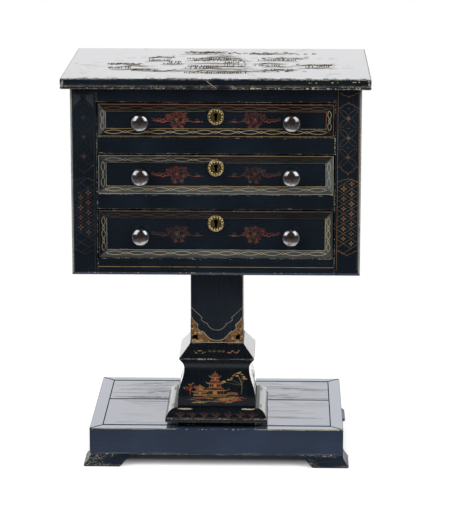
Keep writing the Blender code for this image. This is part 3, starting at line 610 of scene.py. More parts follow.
def knob_profile(radius, length):
    """Ball-shaped head on a short waisted neck, from the crown back to the foot."""
    neck_length = NECK_LENGTH * length
    neck = NECK_RADIUS * radius
    foot = FOOT_RADIUS * radius
    half = (length - neck_length) / 2
    middle = neck_length + half
    last = math.acos(neck / radius)
    points = []
    for step in range(1, HEAD_STEPS + 1):
        angle = math.pi / 2 - (math.pi / 2 + last) * step / HEAD_STEPS
        points.append((radius * math.cos(angle), middle + half * math.sin(angle)))
    start = points[-1][1]
    for step in range(1, NECK_STEPS + 1):
        share = step / NECK_STEPS
        points.append((neck + (foot - neck) * share ** 2, start * (1 - share)))
    return points


def make_knobs():
    for name in DRAWERS:
        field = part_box(name + "_front")[0].y
        for side in SIDES:
            node = "%s_%s_knob" % (name, side)
            low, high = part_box(node)
            radius = (high.z - low.z) / 2
            centre = Vector(((low.x + high.x) / 2, field, (low.z + high.z) / 2))
            profile = knob_profile(radius, field - low.y)
            knob = add_object(node + "_polished", turned_mesh(node, profile, centre))
            knob.data.materials.append(FINISH["knob"])
            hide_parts(node)
            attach(knob, name)


def rim_profile(outer):
    """Section of a half-round rim, from its outer edge over to its inner edge."""
    inner = outer - RIM_WIDTH
    middle = (outer + inner) / 2
    half = (outer - inner) / 2
    points = []
    for step in range(RIM_STEPS + 1):
        angle = math.pi * step / RIM_STEPS
        points.append((middle + half * math.cos(angle), RIM_HEIGHT * math.sin(angle)))
    return points


def bead_mesh(name, centre, radius):
    """A ring of half-sunk beads."""
    bm = bmesh.new()
    for step in range(BEADS):
        angle = 2 * math.pi * step / BEADS
        bead = bmesh.ops.create_icosphere(bm, subdivisions=2, radius=BEAD_RADIUS)
        place = centre + Vector((radius * math.cos(angle), 0.0, radius * math.sin(angle)))
        bmesh.ops.translate(bm, verts=bead["verts"], vec=place)
    mesh = mesh_from(bm, name)
    mesh.shade_smooth()
    return mesh


def trim_escutcheons():
    """A raised rim and a ring of beads on the sloping part of each plate."""
    for name in DRAWERS:
        low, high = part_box(name + "_escutcheon")
        centre = Vector(((low.x + high.x) / 2, low.y, (low.z + high.z) / 2))
        radius = (high.x - low.x) / 2
        parts = (
            ("rim", turned_mesh(name, rim_profile(radius), centre, True)),
            ("beads", bead_mesh(name, centre, radius - BEAD_INSET)),
        )
        for part, mesh in parts:
            trim = add_object("%s_escutcheon_%s" % (name, part), mesh)
            trim.data.materials.append(FINISH["brass"])
            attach(trim, name)


# Flat drawing, in metres on a surface

def between(first, second, share):
    """The point at a share of the way from one point to another."""
    return tuple(a + (b - a) * share for a, b in zip(first, second))


def polar(centre, angle, reach, rise=None):
    """The point at an angle on a circle, or on an ellipse with its own rise."""
    height = reach if rise is None else rise
    return (centre[0] + reach * math.cos(angle), centre[1] + height * math.sin(angle))


def smooth(points, steps=6):
    """A smooth line through the points."""
    line = []
    last = len(points) - 1
    for i in range(last):
        four = [points[max(i - 1, 0)], points[i], points[i + 1], points[min(i + 2, last)]]
        for step in range(steps):
            t = step / steps
            line.append(tuple(
                0.5 * (2 * b + (c - a) * t + (2 * a - 5 * b + 4 * c - d) * t ** 2
                       + (3 * b - a - 3 * c + d) * t ** 3)
                for a, b, c, d in zip(*four)))
    line.append(points[-1])
    return line


def arc(centre, radius, start, end, steps=12):
    """Part of a circle, angles in degrees."""
    points = []
    for step in range(steps + 1):
        angle = math.radians(start + (end - start) * step / steps)
        points.append(polar(centre, angle, radius))
    return points


def spiral(centre, radius, start, turns, steps=18):
    """A volute that winds in to its centre."""
    points = []
    for step in range(steps + 1):
        share = step / steps
        angle = math.radians(start) + 2 * math.pi * turns * share
        points.append(polar(centre, angle, radius * (1 - 0.85 * share)))
    return points


def leaf(root, tip, width, steps=5):
    """Outline of a pointed leaf or petal."""
    du, dv = tip[0] - root[0], tip[1] - root[1]
    length = math.hypot(du, dv) or 1.0
    sides = ([], [])
    for step in range(steps + 1):
        share = step / steps
        swell = width * math.sin(math.pi * share) ** 0.8 / 2
        for side, sign in zip(sides, (1, -1)):
            side.append((
                root[0] + du * share - sign * dv / length * swell,
                root[1] + dv * share + sign * du / length * swell))
    return sides[0] + sides[1][-2:0:-1]


def even_line(first, second, step=0.008):
    """A straight line with points close together."""
    count = max(1, int(math.dist(first, second) / step))
    return [between(first, second, i / count) for i in range(count + 1)]


def box_line(low_u, low_v, high_u, high_v):
    """A rectangle as a closed line with points close together."""
    corners = ((low_u, low_v), (high_u, low_v), (high_u, high_v), (low_u, high_v), (low_u, low_v))
    points = []
    for first, second in zip(corners, corners[1:]):
        points += even_line(first, second)[:-1]
    points.append(corners[0])
    return points


LAYERS = {}


class Surface:
    """A painted face: place(u, v) is a point on it, facing is the way that it looks."""

    def __init__(self, body, place, facing, holes=()):
        self.body = body
        self.place = place
        self.facing = Vector(facing)
        self.holes = holes

    def clear_of_holes(self, point):
        return all(math.dist(point, centre) > radius for centre, radius in self.holes)

    def add(self, paint_name, points, faces):
        verts, polygons = LAYERS.setdefault((self.body, paint_name), ([], []))
        lift = PAINTS[paint_name][1] + CROSSING_STEP * (len(polygons) % CROSSING_STEPS)
        start = len(verts)
        placed = [Vector(self.place(u, v)) + self.facing * lift for u, v in points]
        verts.extend(placed)
        for face in faces:
            a, b, c = (placed[i] for i in face[:3])
            order = face if (b - a).cross(c - a).dot(self.facing) > 0 else tuple(reversed(face))
            polygons.append(tuple(start + i for i in order))

    def stroke(self, paint_name, points, width, taper=False):
        """A brush line, left out where it would cross a hole."""
        run = []
        for point in list(points) + [None]:
            if point is not None and self.clear_of_holes(point):
                run.append(point)
                continue
            if len(run) > 1:
                self.ribbon(paint_name, run, width, taper)
            run = []

    def level_line(self, paint_name, start, end, level, width):
        self.stroke(paint_name, ((start, level), (end, level)), width)

    def upright_line(self, paint_name, u, start, end, width):
        self.stroke(paint_name, ((u, start), (u, end)), width)

    def ribbon(self, paint_name, points, width, taper):
        flat = []
        last = len(points) - 1
        for i, (u, v) in enumerate(points):
            before = points[max(i - 1, 0)]
            after = points[min(i + 1, last)]
            du, dv = after[0] - before[0], after[1] - before[1]
            length = math.hypot(du, dv) or 1.0
            half = width / 2
            if taper:
                half *= 0.25 + 0.75 * math.sin(math.pi * i / last)
            flat.append((u - dv / length * half, v + du / length * half))
            flat.append((u + dv / length * half, v - du / length * half))
        faces = [(2 * i, 2 * i + 1, 2 * i + 3, 2 * i + 2) for i in range(last)]
        self.add(paint_name, flat, faces)

    def patch(self, paint_name, outline):
        """A filled shape, drawn as a fan from its middle."""
        count = len(outline)
        middle = (sum(p[0] for p in outline) / count, sum(p[1] for p in outline) / count)
        if not self.clear_of_holes(middle):
            return
        faces = [(i, (i + 1) % count, count) for i in range(count)]
        self.add(paint_name, list(outline) + [middle], faces)

    def dot(self, paint_name, centre, radius, steps=8):
        self.patch(paint_name, arc(centre, radius, 0, 360, steps)[:-1])


# Ornament on the drawers

BAND_WIDTH = 15.5 * MM
BAND_LIP = 2.0 * MM
BAND_FOOT = 1.0 * MM          # thickness of the border at its inner edge
PLATE_GAP = 0.6 * MM
OUTER_LINE = 1.1 * MM         # distances from the border's outer edge
INNER_LINE = BAND_WIDTH - 0.9 * MM
MITRE_END = BAND_WIDTH - 1.0 * MM
CHAIN_END = BAND_WIDTH - 3.0 * MM
LENS_LENGTH = 36 * MM
END_LENS_LENGTH = 18 * MM
EYE_LENGTH = 8 * MM
LENS_RISE = 3.3 * MM
EYE_RISE = 1.7 * MM
LENS_STEPS = 12
CHAIN_LINE = 0.7 * MM
BAND_LINE = 0.8 * MM
FINE_LINE = 0.6 * MM
HAZE_REACH = 170 * MM
HAZE_STROKES = 50


def drawer_surface(name):
    """The front of a drawer: sloping border and sunk field, with the fittings left clear."""
    low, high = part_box(name + "_front_moulding")
    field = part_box(name + "_front")[0].y
    depth = high.y - low.y - BAND_FOOT

    def place(u, v):
        inset = min(u - low.x, high.x - u, v - low.z, high.z - v)
        if inset >= BAND_WIDTH:
            return (u, field, v)
        share = max(0.0, (inset - BAND_LIP) / (BAND_WIDTH - BAND_LIP))
        return (u, low.y + depth * share, v)

    holes = []
    for part, gap in (("escutcheon", PLATE_GAP), ("left_knob", 0.0), ("right_knob", 0.0)):
        part_low, part_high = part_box("%s_%s" % (name, part))
        middle = (part_low + part_high) / 2
        holes.append(((middle.x, middle.z), (part_high.x - part_low.x) / 2 + gap))
    return Surface(name, place, (0, -1, 0), holes), low, high


def lens_chain(surface, chain, start, end, lens, across):
    """Two strands that cross: long lozenges joined by small eyes; across(s, t) gives the flat point."""
    first, second = (chain, chain) if isinstance(chain, str) else chain
    length = end - start
    count = max(1, round((length + EYE_LENGTH) / (lens + EYE_LENGTH)))
    stretch = length / (count * lens + (count - 1) * EYE_LENGTH)
    place = start
    for index in range(2 * count - 1):
        is_lens = index % 2 == 0
        span = (lens if is_lens else EYE_LENGTH) * stretch
        rise = LENS_RISE if is_lens else EYE_RISE
        colour = first if place + span / 2 < (start + end) / 2 else second
        for sign in (1, -1):
            line = []
            for step in range(LENS_STEPS + 1):
                share = step / LENS_STEPS
                line.append(across(place + span * share, sign * rise * math.sin(math.pi * share) ** 0.8))
            surface.stroke(colour, line, CHAIN_LINE)
        place += span


def paint_border(surface, low, high, borders):
    """On each side of the border a chain between two lines, and a line along each mitre."""
    middle = (BAND_LIP + BAND_WIDTH) / 2
    sides = (
        ("lower", low.x, high.x, LENS_LENGTH, lambda s, t: (s, low.z + t)),
        ("upper", low.x, high.x, LENS_LENGTH, lambda s, t: (s, high.z - t)),
        ("left", low.z, high.z, END_LENS_LENGTH, lambda s, t: (low.x + t, s)),
        ("right", low.z, high.z, END_LENS_LENGTH, lambda s, t: (high.x - t, s)),
    )
    for part, start, end, lens, place in sides:
        chain, inner, outer = borders[part][1:]
        for inset, colour in ((INNER_LINE, inner), (OUTER_LINE, outer)):
            line = even_line(place(start + inset, inset), place(end - inset, inset))
            surface.stroke(colour, line, BAND_LINE)
        ends = (start + CHAIN_END, end - CHAIN_END)
        lens_chain(surface, chain, *ends, lens, lambda s, t: place(s, middle + t))
    for u, across in ((low.x, 1), (high.x, -1)):
        for v, up in ((low.z, 1), (high.z, -1)):
            mitre = [(u + across * reach, v + up * reach) for reach in (BAND_LIP, MITRE_END)]
            surface.stroke("dull_gilt", mitre, FINE_LINE)


def haze_upper_band(surface, low, high):
    """Pale rubbing on the upper border of a drawer, thickest at its left end."""
    rng = random.Random(21)
    for _ in range(HAZE_STROKES):
        inset = rng.uniform(3, 14) * MM
        start = low.x + inset + HAZE_REACH * rng.random() ** 1.8
        end = start + rng.uniform(8, 36) * MM
        line = even_line((start, high.z - inset), (end, high.z - inset))
        surface.stroke("slate_edge", line, rng.uniform(0.5, 1.1) * MM)


# Flowers of a spray, in mm from its middle: along it towards the knob, up, radius, and whether filled
SPRAY_FLOWERS = (
    (0, 2, 5.0, True), (9, 9, 4.2, False), (-8, 10, 4.6, False), (-15, 5, 3.6, False),
    (1, 13, 3.4, False), (13, 2, 4.0, False), (-12, -3, 4.0, True), (7, -6, 4.0, False),
    (3, -13, 4.0, True), (-9, -12, 3.8, True), (-3, -5, 3.4, False), (17, 9, 2.8, False),
    (-20, 1, 3.0, False), (-16, 12, 3.0, False),
)
# Loops of the ribbon of leaves that runs from the flowers towards the knob: along, up, length, height
SPRAY_LOOPS = (
    (20, 1, 4.4, 3.4), (26, -1, 4.2, 3.2), (32, 1, 4.0, 2.8), (37, 0, 3.4, 2.2), (42, 1.5, 2.6, 1.8),
)
SPRAY_STEM = ((-16, -2), (-24, -1), (-32, -3), (-40, -2), (-49, -2.5))
SPRAY_LINE = 0.6              # mm, before the scale of the spray
SPRAY_REACH = 73 * MM
SPRAY_RISE = 2 * MM           # above the middle of the knobs
LOBE_STEPS = 16

# Line of the left and right spray on each drawer
SPRAY_PAINTS = {
    "drawer_1": ("rust", "dim_rust"),
    "drawer_2": ("dim_rust", "faint_rust"),
    "drawer_3": ("faint_rust", "dim_rust"),
}


def scalloped(at, u, v, radius, turn):
    """Outline of a loosely drawn flower with uneven lobes."""
    points = []
    for step in range(LOBE_STEPS + 1):
        angle = 2 * math.pi * step / LOBE_STEPS
        reach = radius * (1 + 0.22 * math.cos(3 * angle + turn) + 0.14 * math.cos(5 * angle - 2 * turn))
        points.append(at(*polar((u, v), angle, reach, 0.9 * reach)))
    return points


def spray_ribbon(surface, at, line, unit):
    """Loops that shrink towards the knob, each with a leaf in it, and a gilt curl at the end."""
    for u, v, length, height in SPRAY_LOOPS:
        loop = [at(*polar((u, v), k * math.pi / 6, length, height)) for k in range(13)]
        surface.stroke(line, loop, SPRAY_LINE * unit)
        surface.patch(line, leaf(at(u - length, v - height), at(u + length, v - 0.4 * height), 1.4 * unit))
    surface.stroke("dull_gilt", [at(u, v) for u, v in spiral((45, 3), 3.4, -90, 1.0)], SPRAY_LINE * unit)


def spray_flower(surface, at, line, unit, flower, rng):
    """One flower with a curl in it; a filled one is dark with a bright heart."""
    u, v, radius, filled = flower
    turn = rng.uniform(0, 6)
    outline = scalloped(at, u, v, radius, turn)
    if filled:
        surface.patch("deep_rust", outline[:-1])
        surface.patch(line, scalloped(at, u, v, 0.38 * radius, turn)[:-1])
    wind = rng.uniform(0, 360)
    turns = rng.choice((-0.8, 0.8))
    curl = [at(a, b) for a, b in spiral((u, v), 0.62 * radius, wind, turns, 10)]
    surface.stroke("dull_gilt" if rng.random() < 0.2 else line, outline, SPRAY_LINE * unit)
    surface.stroke("bronze" if filled else line, curl, 0.55 * unit)


def spray(surface, centre, mirror, rng, line="rust", scale=1.0):
    """Loosely drawn flowers, a ribbon of leaves towards the knob and a stem with a bud the other way."""
    unit = MM * scale

    def at(u, v):
        return (centre[0] + mirror * u * unit, centre[1] + v * unit)

    surface.stroke(line, smooth([at(u, v) for u, v in SPRAY_STEM]), 0.8 * unit)
    surface.patch(line, leaf(at(-33, -2.5), at(-45, -2), 3.0 * unit))
    bud = [at(u, v) for u, v in arc((-38, 0.5), 3.0, -10, 200)]
    surface.stroke("dull_gilt", bud, SPRAY_LINE * unit)
    spray_ribbon(surface, at, line, unit)
    for flower in SPRAY_FLOWERS:
        spray_flower(surface, at, line, unit, flower, rng)


def paint_drawers():
    for index, name in enumerate(DRAWERS):
        rng = random.Random(index)
        surface, low, high = drawer_surface(name)
        paint_border(surface, low, high, DRAWER_BORDERS[name])
        if name == "drawer_2":
            haze_upper_band(surface, low, high)
        knob_low, knob_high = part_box(name + "_left_knob")
        level = (knob_low.z + knob_high.z) / 2 + SPRAY_RISE
        for sign, line in zip(SIDES.values(), SPRAY_PAINTS[name]):
            spray(surface, (sign * SPRAY_REACH, level), sign, rng, line)


# Ornament on the case

CASE_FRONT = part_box("left_stile")[0].y
CASE_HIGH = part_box("left_stile")[1].z
STILE_LINE = 0.8 * MM
STILE_MARGIN = 5 * MM
LATTICE_LINE = 0.8 * MM
LATTICE_MARGIN = 1 * MM
PETAL_LINE = 0.5 * MM
HEART_RADIUS = 4.2 * MM
HEART_PETALS = 6
HEART_TURN = 0.3
FLOWER_PITCH = 37.5 * MM
LOZENGE_REACH = 14.6 * MM
LOZENGE_RISE = 9.4 * MM
FLORET_SIZE = 5.6 * MM
SIDE_SPRAY_SCALE = 1.7

# Half of a cusped frame end: share of its half width, share of its rise
CUSP = ((-1.0, 0.0), (-0.80, 0.18), (-0.62, 0.22), (-0.55, 0.45), (-0.32, 0.62), (-0.12, 0.72), (0.0, 1.0))
# Panels of a stile, in mm above the case's foot: cusps and their rise, ends of the flowers and lattice
STILE_CUSPS = ((348, -9), (318, 13), (210, -17), (180, 7), (49, -11))
FLOWER_PANEL = (208, 318)
LATTICE_PANEL = (48, 181)
# Faded corner between the two upper cusps: share of the half width, mm above the case's foot
HAZE_CORNER = ((1, 345), (0.3, 341), (0.2, 334), (1, 320))

# Each stile's paints, and the share of the lattice's height in which florets are left
STILE_STYLES = {
    "left": {
        "cusps": "faint_gilt", "sides": "faint_gilt", "flowers": "faint_gilt", "hearts": "faint_rust",
        "lattice": "faint_gilt", "florets": ("faint_rust", "umber", "umber"), "kept": (0.20, 0.80),
    },
    "right": {
        "cusps": "bronze", "sides": "bronze", "flowers": "dull_gilt", "hearts": "brown",
        "lattice": "dull_gilt", "florets": ("brown", "brown", "bronze"), "kept": (0.0, 0.95),
    },
}


def front_surface():
    return Surface("case", lambda u, v: (u, CASE_FRONT, v), (0, -1, 0))


def mirrored(left):
    """A line and its mirror image in the upright through its last point."""
    middle = left[-1][0]
    right = [(2 * middle - u, v) for u, v in reversed(left)]
    return left + right[1:]


def cusped_end(middle, half, level, rise):
    """Two steps up, or down, to a point in the middle."""
    points = [(middle + share * half, level + lift * rise) for share, lift in CUSP]
    return mirrored(smooth(points, 4))


def blossom(surface, centre, colour):
    """A small flower of pointed petals round a dot."""
    for i in range(HEART_PETALS):
        tip = polar(centre, HEART_TURN + 2 * math.pi * i / HEART_PETALS, HEART_RADIUS)
        surface.patch(colour, leaf(centre, tip, HEART_RADIUS * 2.4 / HEART_PETALS))
    surface.dot(colour, centre, 0.24 * HEART_RADIUS)


def petal_lattice(surface, style, middle, low, high):
    """Four-petalled flowers one above the other."""
    count = round((high - low) / FLOWER_PITCH)
    pitch = (high - low) / count
    for i in range(count):
        level = low + (i + 0.5) * pitch
        for du in (-1, 1):
            for dv in (-1, 1):
                tip = (middle + du * 0.44 * pitch, level + dv * 0.46 * pitch)
                outline = leaf((middle, level), tip, 0.24 * pitch, 7)
                surface.stroke(style["flowers"], outline + outline[:1], PETAL_LINE)
        blossom(surface, (middle, level), style["hearts"])
        for k in (-1, 0, 1):
            surface.dot(style["flowers"], (middle + k * 2.4 * MM, level + pitch / 2), 0.7 * MM)


def floret(surface, centre, size, colour):
    """Four petals set crosswise."""
    for du, dv in ((1, 0), (0, 1), (-1, 0), (0, -1)):
        root = (centre[0] + 0.12 * size * du, centre[1] + 0.12 * size * dv)
        tip = (centre[0] + size * du, centre[1] + size * dv)
        surface.patch(colour, leaf(root, tip, 0.55 * size))


def diamond_lattice(surface, style, middle, half, low, high, rng):
    """Staggered lozenges between crossed lines, with a floret in those within a stretch."""
    rows = round((high - low) / LOZENGE_RISE)
    rise = (high - low) / rows
    clipped = half - LOZENGE_REACH / 2
    first_kept, last_kept = style["kept"]
    for row in range(rows):
        way = 1 if row % 2 else -1
        u = middle + way * LOZENGE_REACH / 2
        v = low + (row + 0.5) * rise
        for end in (-1, 1):
            corner = (u, v + end * rise)
            if end > 0 or row == 0:
                surface.stroke(style["lattice"], (corner, (u - way * LOZENGE_REACH, v)), LATTICE_LINE)
            outer = (u + way * clipped, v + end * rise * (1 - clipped / LOZENGE_REACH))
            surface.stroke(style["lattice"], (corner, outer), LATTICE_LINE)
        size = rng.uniform(0.85, 1.15) * FLORET_SIZE
        colour = rng.choice(style["florets"])
        if first_kept < row / rows < last_kept:
            floret(surface, (u, v), size, colour)


def paint_stile(surface, middle, style, rng):
    """Two cusped panels, one of large flowers above one of lattice."""
    low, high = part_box("left_stile")
    half = (high.x - low.x) / 2 - STILE_MARGIN
    for u in (middle - half, middle + half):
        side = even_line((u, low.z + 10 * MM), (u, high.z - 3 * MM))
        surface.stroke(style["sides"], side, STILE_LINE)
    for level, rise in STILE_CUSPS:
        cusp = cusped_end(middle, half, low.z + level * MM, rise * MM)
        surface.stroke(style["cusps"], cusp, STILE_LINE)
    flower_ends = [low.z + level * MM for level in FLOWER_PANEL]
    petal_lattice(surface, style, middle, *flower_ends)
    lattice_ends = [low.z + level * MM for level in LATTICE_PANEL]
    diamond_lattice(surface, style, middle, half - LATTICE_MARGIN, *lattice_ends, rng)


def haze_left_stile(surface):
    """The faded corners between the two upper cusps of the left stile."""
    low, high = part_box("left_stile")
    middle = (low.x + high.x) / 2
    half = (high.x - low.x) / 2 - 6 * MM
    for sign in SIDES.values():
        outline = [(middle + sign * u * half, low.z + v * MM) for u, v in HAZE_CORNER]
        surface.patch("haze", outline)


def paint_case():
    surface = front_surface()
    for side, sign in SIDES.items():
        low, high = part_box(side + "_stile")
        paint_stile(surface, (low.x + high.x) / 2, STILE_STYLES[side], random.Random(7 + sign))
    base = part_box("bottom_rail")[0].z
    stile_low, stile_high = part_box("right_stile")
    surface.level_line("gilt", -stile_low.x, stile_low.x, base + 15.5 * MM, 0.9 * MM)
    reach = stile_high.x - 1.2 * MM
    # painted reflection: a pale slate strip along the case's foot stands for the sheen of its rounded
    # lower edge
    surface.level_line("slate_edge", -reach, reach, base + 2.8 * MM, 3.6 * MM)
    # painted highlight: a pale stroke down each outer edge of the case stands for the light on its rounded
    # corner
    for sign in SIDES.values():
        edge = sign * (reach - 0.6 * MM)
        line = even_line((edge, base + 3 * MM), (edge, CASE_HIGH - 2 * MM))
        surface.stroke("band_wear", line, 3.2 * MM)
    haze_left_stile(surface)


def paint_case_sides():
    """A double line and two sprays of flowers on each side."""
    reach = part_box("right_stile")[1].x
    for side, sign in SIDES.items():
        low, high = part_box(side + "_side_panel")
        face = Surface("case", lambda u, v: (sign * reach, u, v), (sign, 0, 0))
        for inset, width in ((16 * MM, 0.9 * MM), (20 * MM, 0.7 * MM)):
            line = box_line(CASE_FRONT + inset, low.z + inset, high.y - inset, high.z - inset)
            face.stroke("dull_gilt", line, width)
        middle = (CASE_FRONT + high.y) / 2
        for share in (0.3, 0.7):
            level = low.z + share * (high.z - low.z)
            spray(face, (middle, level), sign, random.Random(20 + sign), scale=SIDE_SPRAY_SCALE)


# Ornament on the pedestal

PEDESTAL_LOW, PEDESTAL_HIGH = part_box("pedestal_column")
PEDESTAL_Y = (PEDESTAL_LOW.y + PEDESTAL_HIGH.y) / 2
# Across and back parts of the way along each face, from the front to the right, back and left
QUARTERS = ((1, 0), (0, 1), (-1, 0), (0, -1))

# Half of the swag and of the scalloped edge on the column: share of the half width, mm above its foot
SWAG = (
    (-1.0, 72), (-0.80, 62), (-0.62, 53.5), (-0.57, 50.5), (-0.60, 47), (-0.55, 44), (-0.42, 40),
    (-0.36, 39.5), (-0.345, 36), (-0.26, 31), (-0.14, 27.4), (0.0, 26),
)
SCALLOP = (
    (-0.97, 52), (-0.86, 43), (-0.73, 37), (-0.755, 30), (-0.65, 24.5), (-0.52, 22.3),
    (-0.345, 12.4), (-0.18, 7.0), (0.0, 5.5),
)
SPANDREL_REACH = 0.97         # share of the half width
SPANDREL_FOOT = 2 * MM
SPANDREL_LINE = 0.9 * MM
SPANDREL_SCROLLS = 64
SCROLL_PAINTS = ("orange", "gilt", "gilt", "pale_gilt", "black")
BLOCK_HALF = 4 * MM
PAVILION_LINE = 0.65 * MM
EAVES_LINE = 0.85 * MM
ROOF_TILES = 9


def half_width_at(node):
    """Half width of a square, upright piece at any level, read from its solid."""
    rings = {}
    for vert in NODES[node].data.vertices:
        level = round(vert.co.z, 5)
        rings[level] = max(rings.get(level, 0.0), abs(vert.co.x))
    levels = sorted(rings)

    def half(level):
        below = max((z for z in levels if z <= level), default=levels[0])
        above = min((z for z in levels if z >= level), default=levels[-1])
        if above == below:
            return rings[below]
        share = (level - below) / (above - below)
        return rings[below] + (rings[above] - rings[below]) * share

    return half


def pedestal_face(quarter, half):
    """One of the four upright faces; half(level) is its distance from the middle."""
    cos, sin = QUARTERS[quarter]

    def place(u, v):
        out = half(v)
        return (u * cos + out * sin, PEDESTAL_Y + u * sin - out * cos, v)

    return Surface("case", place, (sin, -cos, 0))


def spandrel(face, half, foot, sign, rng):
    """A corner filled with mottled gold scrolls behind a scalloped edge, with a dark square in it."""
    edge = smooth([(-sign * u * half, foot + v * MM) for u, v in SCALLOP], 4)
    corner = (sign * SPANDREL_REACH * half, foot + SPANDREL_FOOT)
    for first, second in zip(edge, edge[1:]):
        face.patch("amber", (first, second, corner))
    for _ in range(SPANDREL_SCROLLS):
        share = rng.random()
        out = rng.uniform(0.12, 0.85)
        place = between(edge[int(share * (len(edge) - 1))], corner, out)
        size = rng.uniform(1.6, 2.6) * MM
        curl = spiral(place, size, rng.uniform(0, 360), rng.choice((-0.9, 0.9)), 9)
        face.stroke(rng.choice(SCROLL_PAINTS), curl, SPANDREL_LINE)
    face.stroke("pale_gilt", edge, SPANDREL_LINE)
    u, v = sign * 0.81 * half, foot + 12.5 * MM
    block = box_line(u - BLOCK_HALF, v - BLOCK_HALF, u + BLOCK_HALF, v + BLOCK_HALF)
    face.patch("black", block[:-1])
    face.upright_line("orange", sign * 0.96 * half, foot + SPANDREL_FOOT, foot + 48 * MM, SPANDREL_LINE)


def paint_column():
    half = PEDESTAL_HIGH.x
    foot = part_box("pedestal_vase")[1].z
    reach = SPANDREL_REACH * half
    for quarter in range(4):
        rng = random.Random(30 + quarter)
        face = pedestal_face(quarter, lambda level: half)
        swag = smooth([(u * half, foot + v * MM) for u, v in SWAG], 5)
        face.stroke("band_gilt", mirrored(swag), 0.75 * MM)
        for sign in SIDES.values():
            spandrel(face, half, foot, sign, rng)
        face.level_line("pale_gilt", -reach, reach, foot + SPANDREL_FOOT, 1.2 * MM)


def storey(surface, u, v, width, height):
    """A row of posts with a bright doorway in the middle."""
    for k in range(-3, 4):
        surface.upright_line("rust", u + k * 0.145 * width, v, v + height, PAVILION_LINE)
    door = 0.1 * width
    lintel = v + 0.8 * height
    surface.patch("orange", [(u - door, v), (u + door, v), (u + door, lintel), (u - door, lintel)])


def roof(surface, u, v, width, rise, rng):
    """Swept eaves, lines of tiles and a ridge."""
    tip = v + 0.5 * rise
    eaves = [(u - 0.72 * width, tip), (u - 0.55 * width, v), (u, v - 0.06 * rise),
             (u + 0.55 * width, v), (u + 0.72 * width, tip)]
    surface.stroke("gilt", smooth(eaves, 4), EAVES_LINE)
    for k in range(ROOF_TILES):
        share = 2 * k / (ROOF_TILES - 1) - 1
        tile = ((u + 0.52 * width * share, v), (u + 0.30 * width * share, v + rise))
        surface.stroke("orange" if rng.random() < 0.6 else "rust", tile, PAVILION_LINE)
    surface.level_line("gilt", u - 0.32 * width, u + 0.32 * width, v + rise, PAVILION_LINE)


def pavilion(surface, foot, size, tiers, rng):
    """Open pavilion on a stepped base, with roofs one above another, in fine lines."""
    u, v = foot
    width = size
    rise = 0.16 * size
    for step in (0.0, 0.06, 0.12):
        surface.level_line("gilt", u - 0.58 * width, u + 0.58 * width, v + step * size, PAVILION_LINE)
    v += 0.12 * size
    for tier in range(tiers):
        height = 0.20 * size * 0.85 ** tier
        storey(surface, u, v, width, height)
        v += height
        roof(surface, u, v, width, rise, rng)
        v += rise
        width *= 0.64
    surface.upright_line("gilt", u, v, v + 0.14 * size, 1.0 * MM)


def bent_tree(surface, trunk, foliage, root, height, lean, rng):
    """A bent trunk with a few branches, each ending in flat pads of leaves."""
    u, v = root
    head = (u + lean * height, v + height)
    bend = (u - 0.3 * lean * height, v + 0.5 * height)
    surface.stroke(trunk, smooth([root, bend, head]), 0.05 * height, True)
    for reach, rise in ((-0.45, 0.78), (-0.2, 1.02), (0.1, 1.1), (0.35, 0.86), (-0.7, 0.66)):
        end = (head[0] + reach * height, v + rise * height)
        elbow = ((bend[0] + end[0]) / 2, end[1] - 0.1 * height)
        surface.stroke(trunk, smooth([bend, elbow, end], 4), FINE_LINE)
        for _ in range(4):
            across = rng.uniform(-0.14, 0.14) * height
            up = rng.uniform(-0.05, 0.08) * height
            size = rng.uniform(0.05, 0.09) * height
            middle = (end[0] + across, end[1] + up)
            pad = [polar(middle, n * math.pi / 4, size, 0.45 * size) for n in range(8)]
            surface.patch(rng.choice(foliage), pad)


def shore(surface, paint_name, start, end, level, rise, width, rng):
    """A broken, wavy ground line."""
    points = []
    count = 9
    for i in range(count + 1):
        u = start + (end - start) * i / count
        points.append((u, level + rng.uniform(-1, 1) * rise))
    surface.stroke(paint_name, smooth(points, 4), width, True)


def bridge(surface, paint_name, middle, span, rise):
    """A humped footbridge with its railing."""
    u, v = middle
    for lift in (0.0, 0.4 * rise):
        line = arc((u, v - span + lift), math.hypot(span, span / 2), 63, 117)
        surface.stroke(paint_name, line, 0.9 * MM)
    for k in range(-3, 4):
        surface.upright_line(paint_name, u + k * 0.14 * span, v, v + rise, 0.7 * MM)


def paint_lake_scene(face, base):
    """A small lakeside scene: pavilions, a bridge, two trees and broken ground in front."""
    rng = random.Random(3)
    ground = base + 20 * MM
    pavilion(face, (-3 * MM, ground), 38 * MM, 3, rng)
    pavilion(face, (-32 * MM, ground + 2 * MM), 22 * MM, 2, rng)
    bridge(face, "orange", (30 * MM, ground + 3 * MM), 22 * MM, 6 * MM)
    leaves = ("leaf_green", "gilt", "orange")
    bent_tree(face, "dull_gilt", leaves, (47 * MM, ground + 4 * MM), 36 * MM, -0.15, rng)
    red_leaves = ("rust", "faint_rust", "leaf_green")
    bent_tree(face, "rust", red_leaves, (-50 * MM, ground + 2 * MM), 20 * MM, 0.1, rng)
    colours = ("gilt", "orange", "leaf_green", "rust", "dull_gilt")
    for _ in range(26):
        start = rng.uniform(-60, 36) * MM
        level = base + rng.uniform(8, 20) * MM
        length = rng.uniform(12, 30) * MM
        shore(face, rng.choice(colours), start, start + length, level, 0.8 * MM, 1.5 * MM, rng)


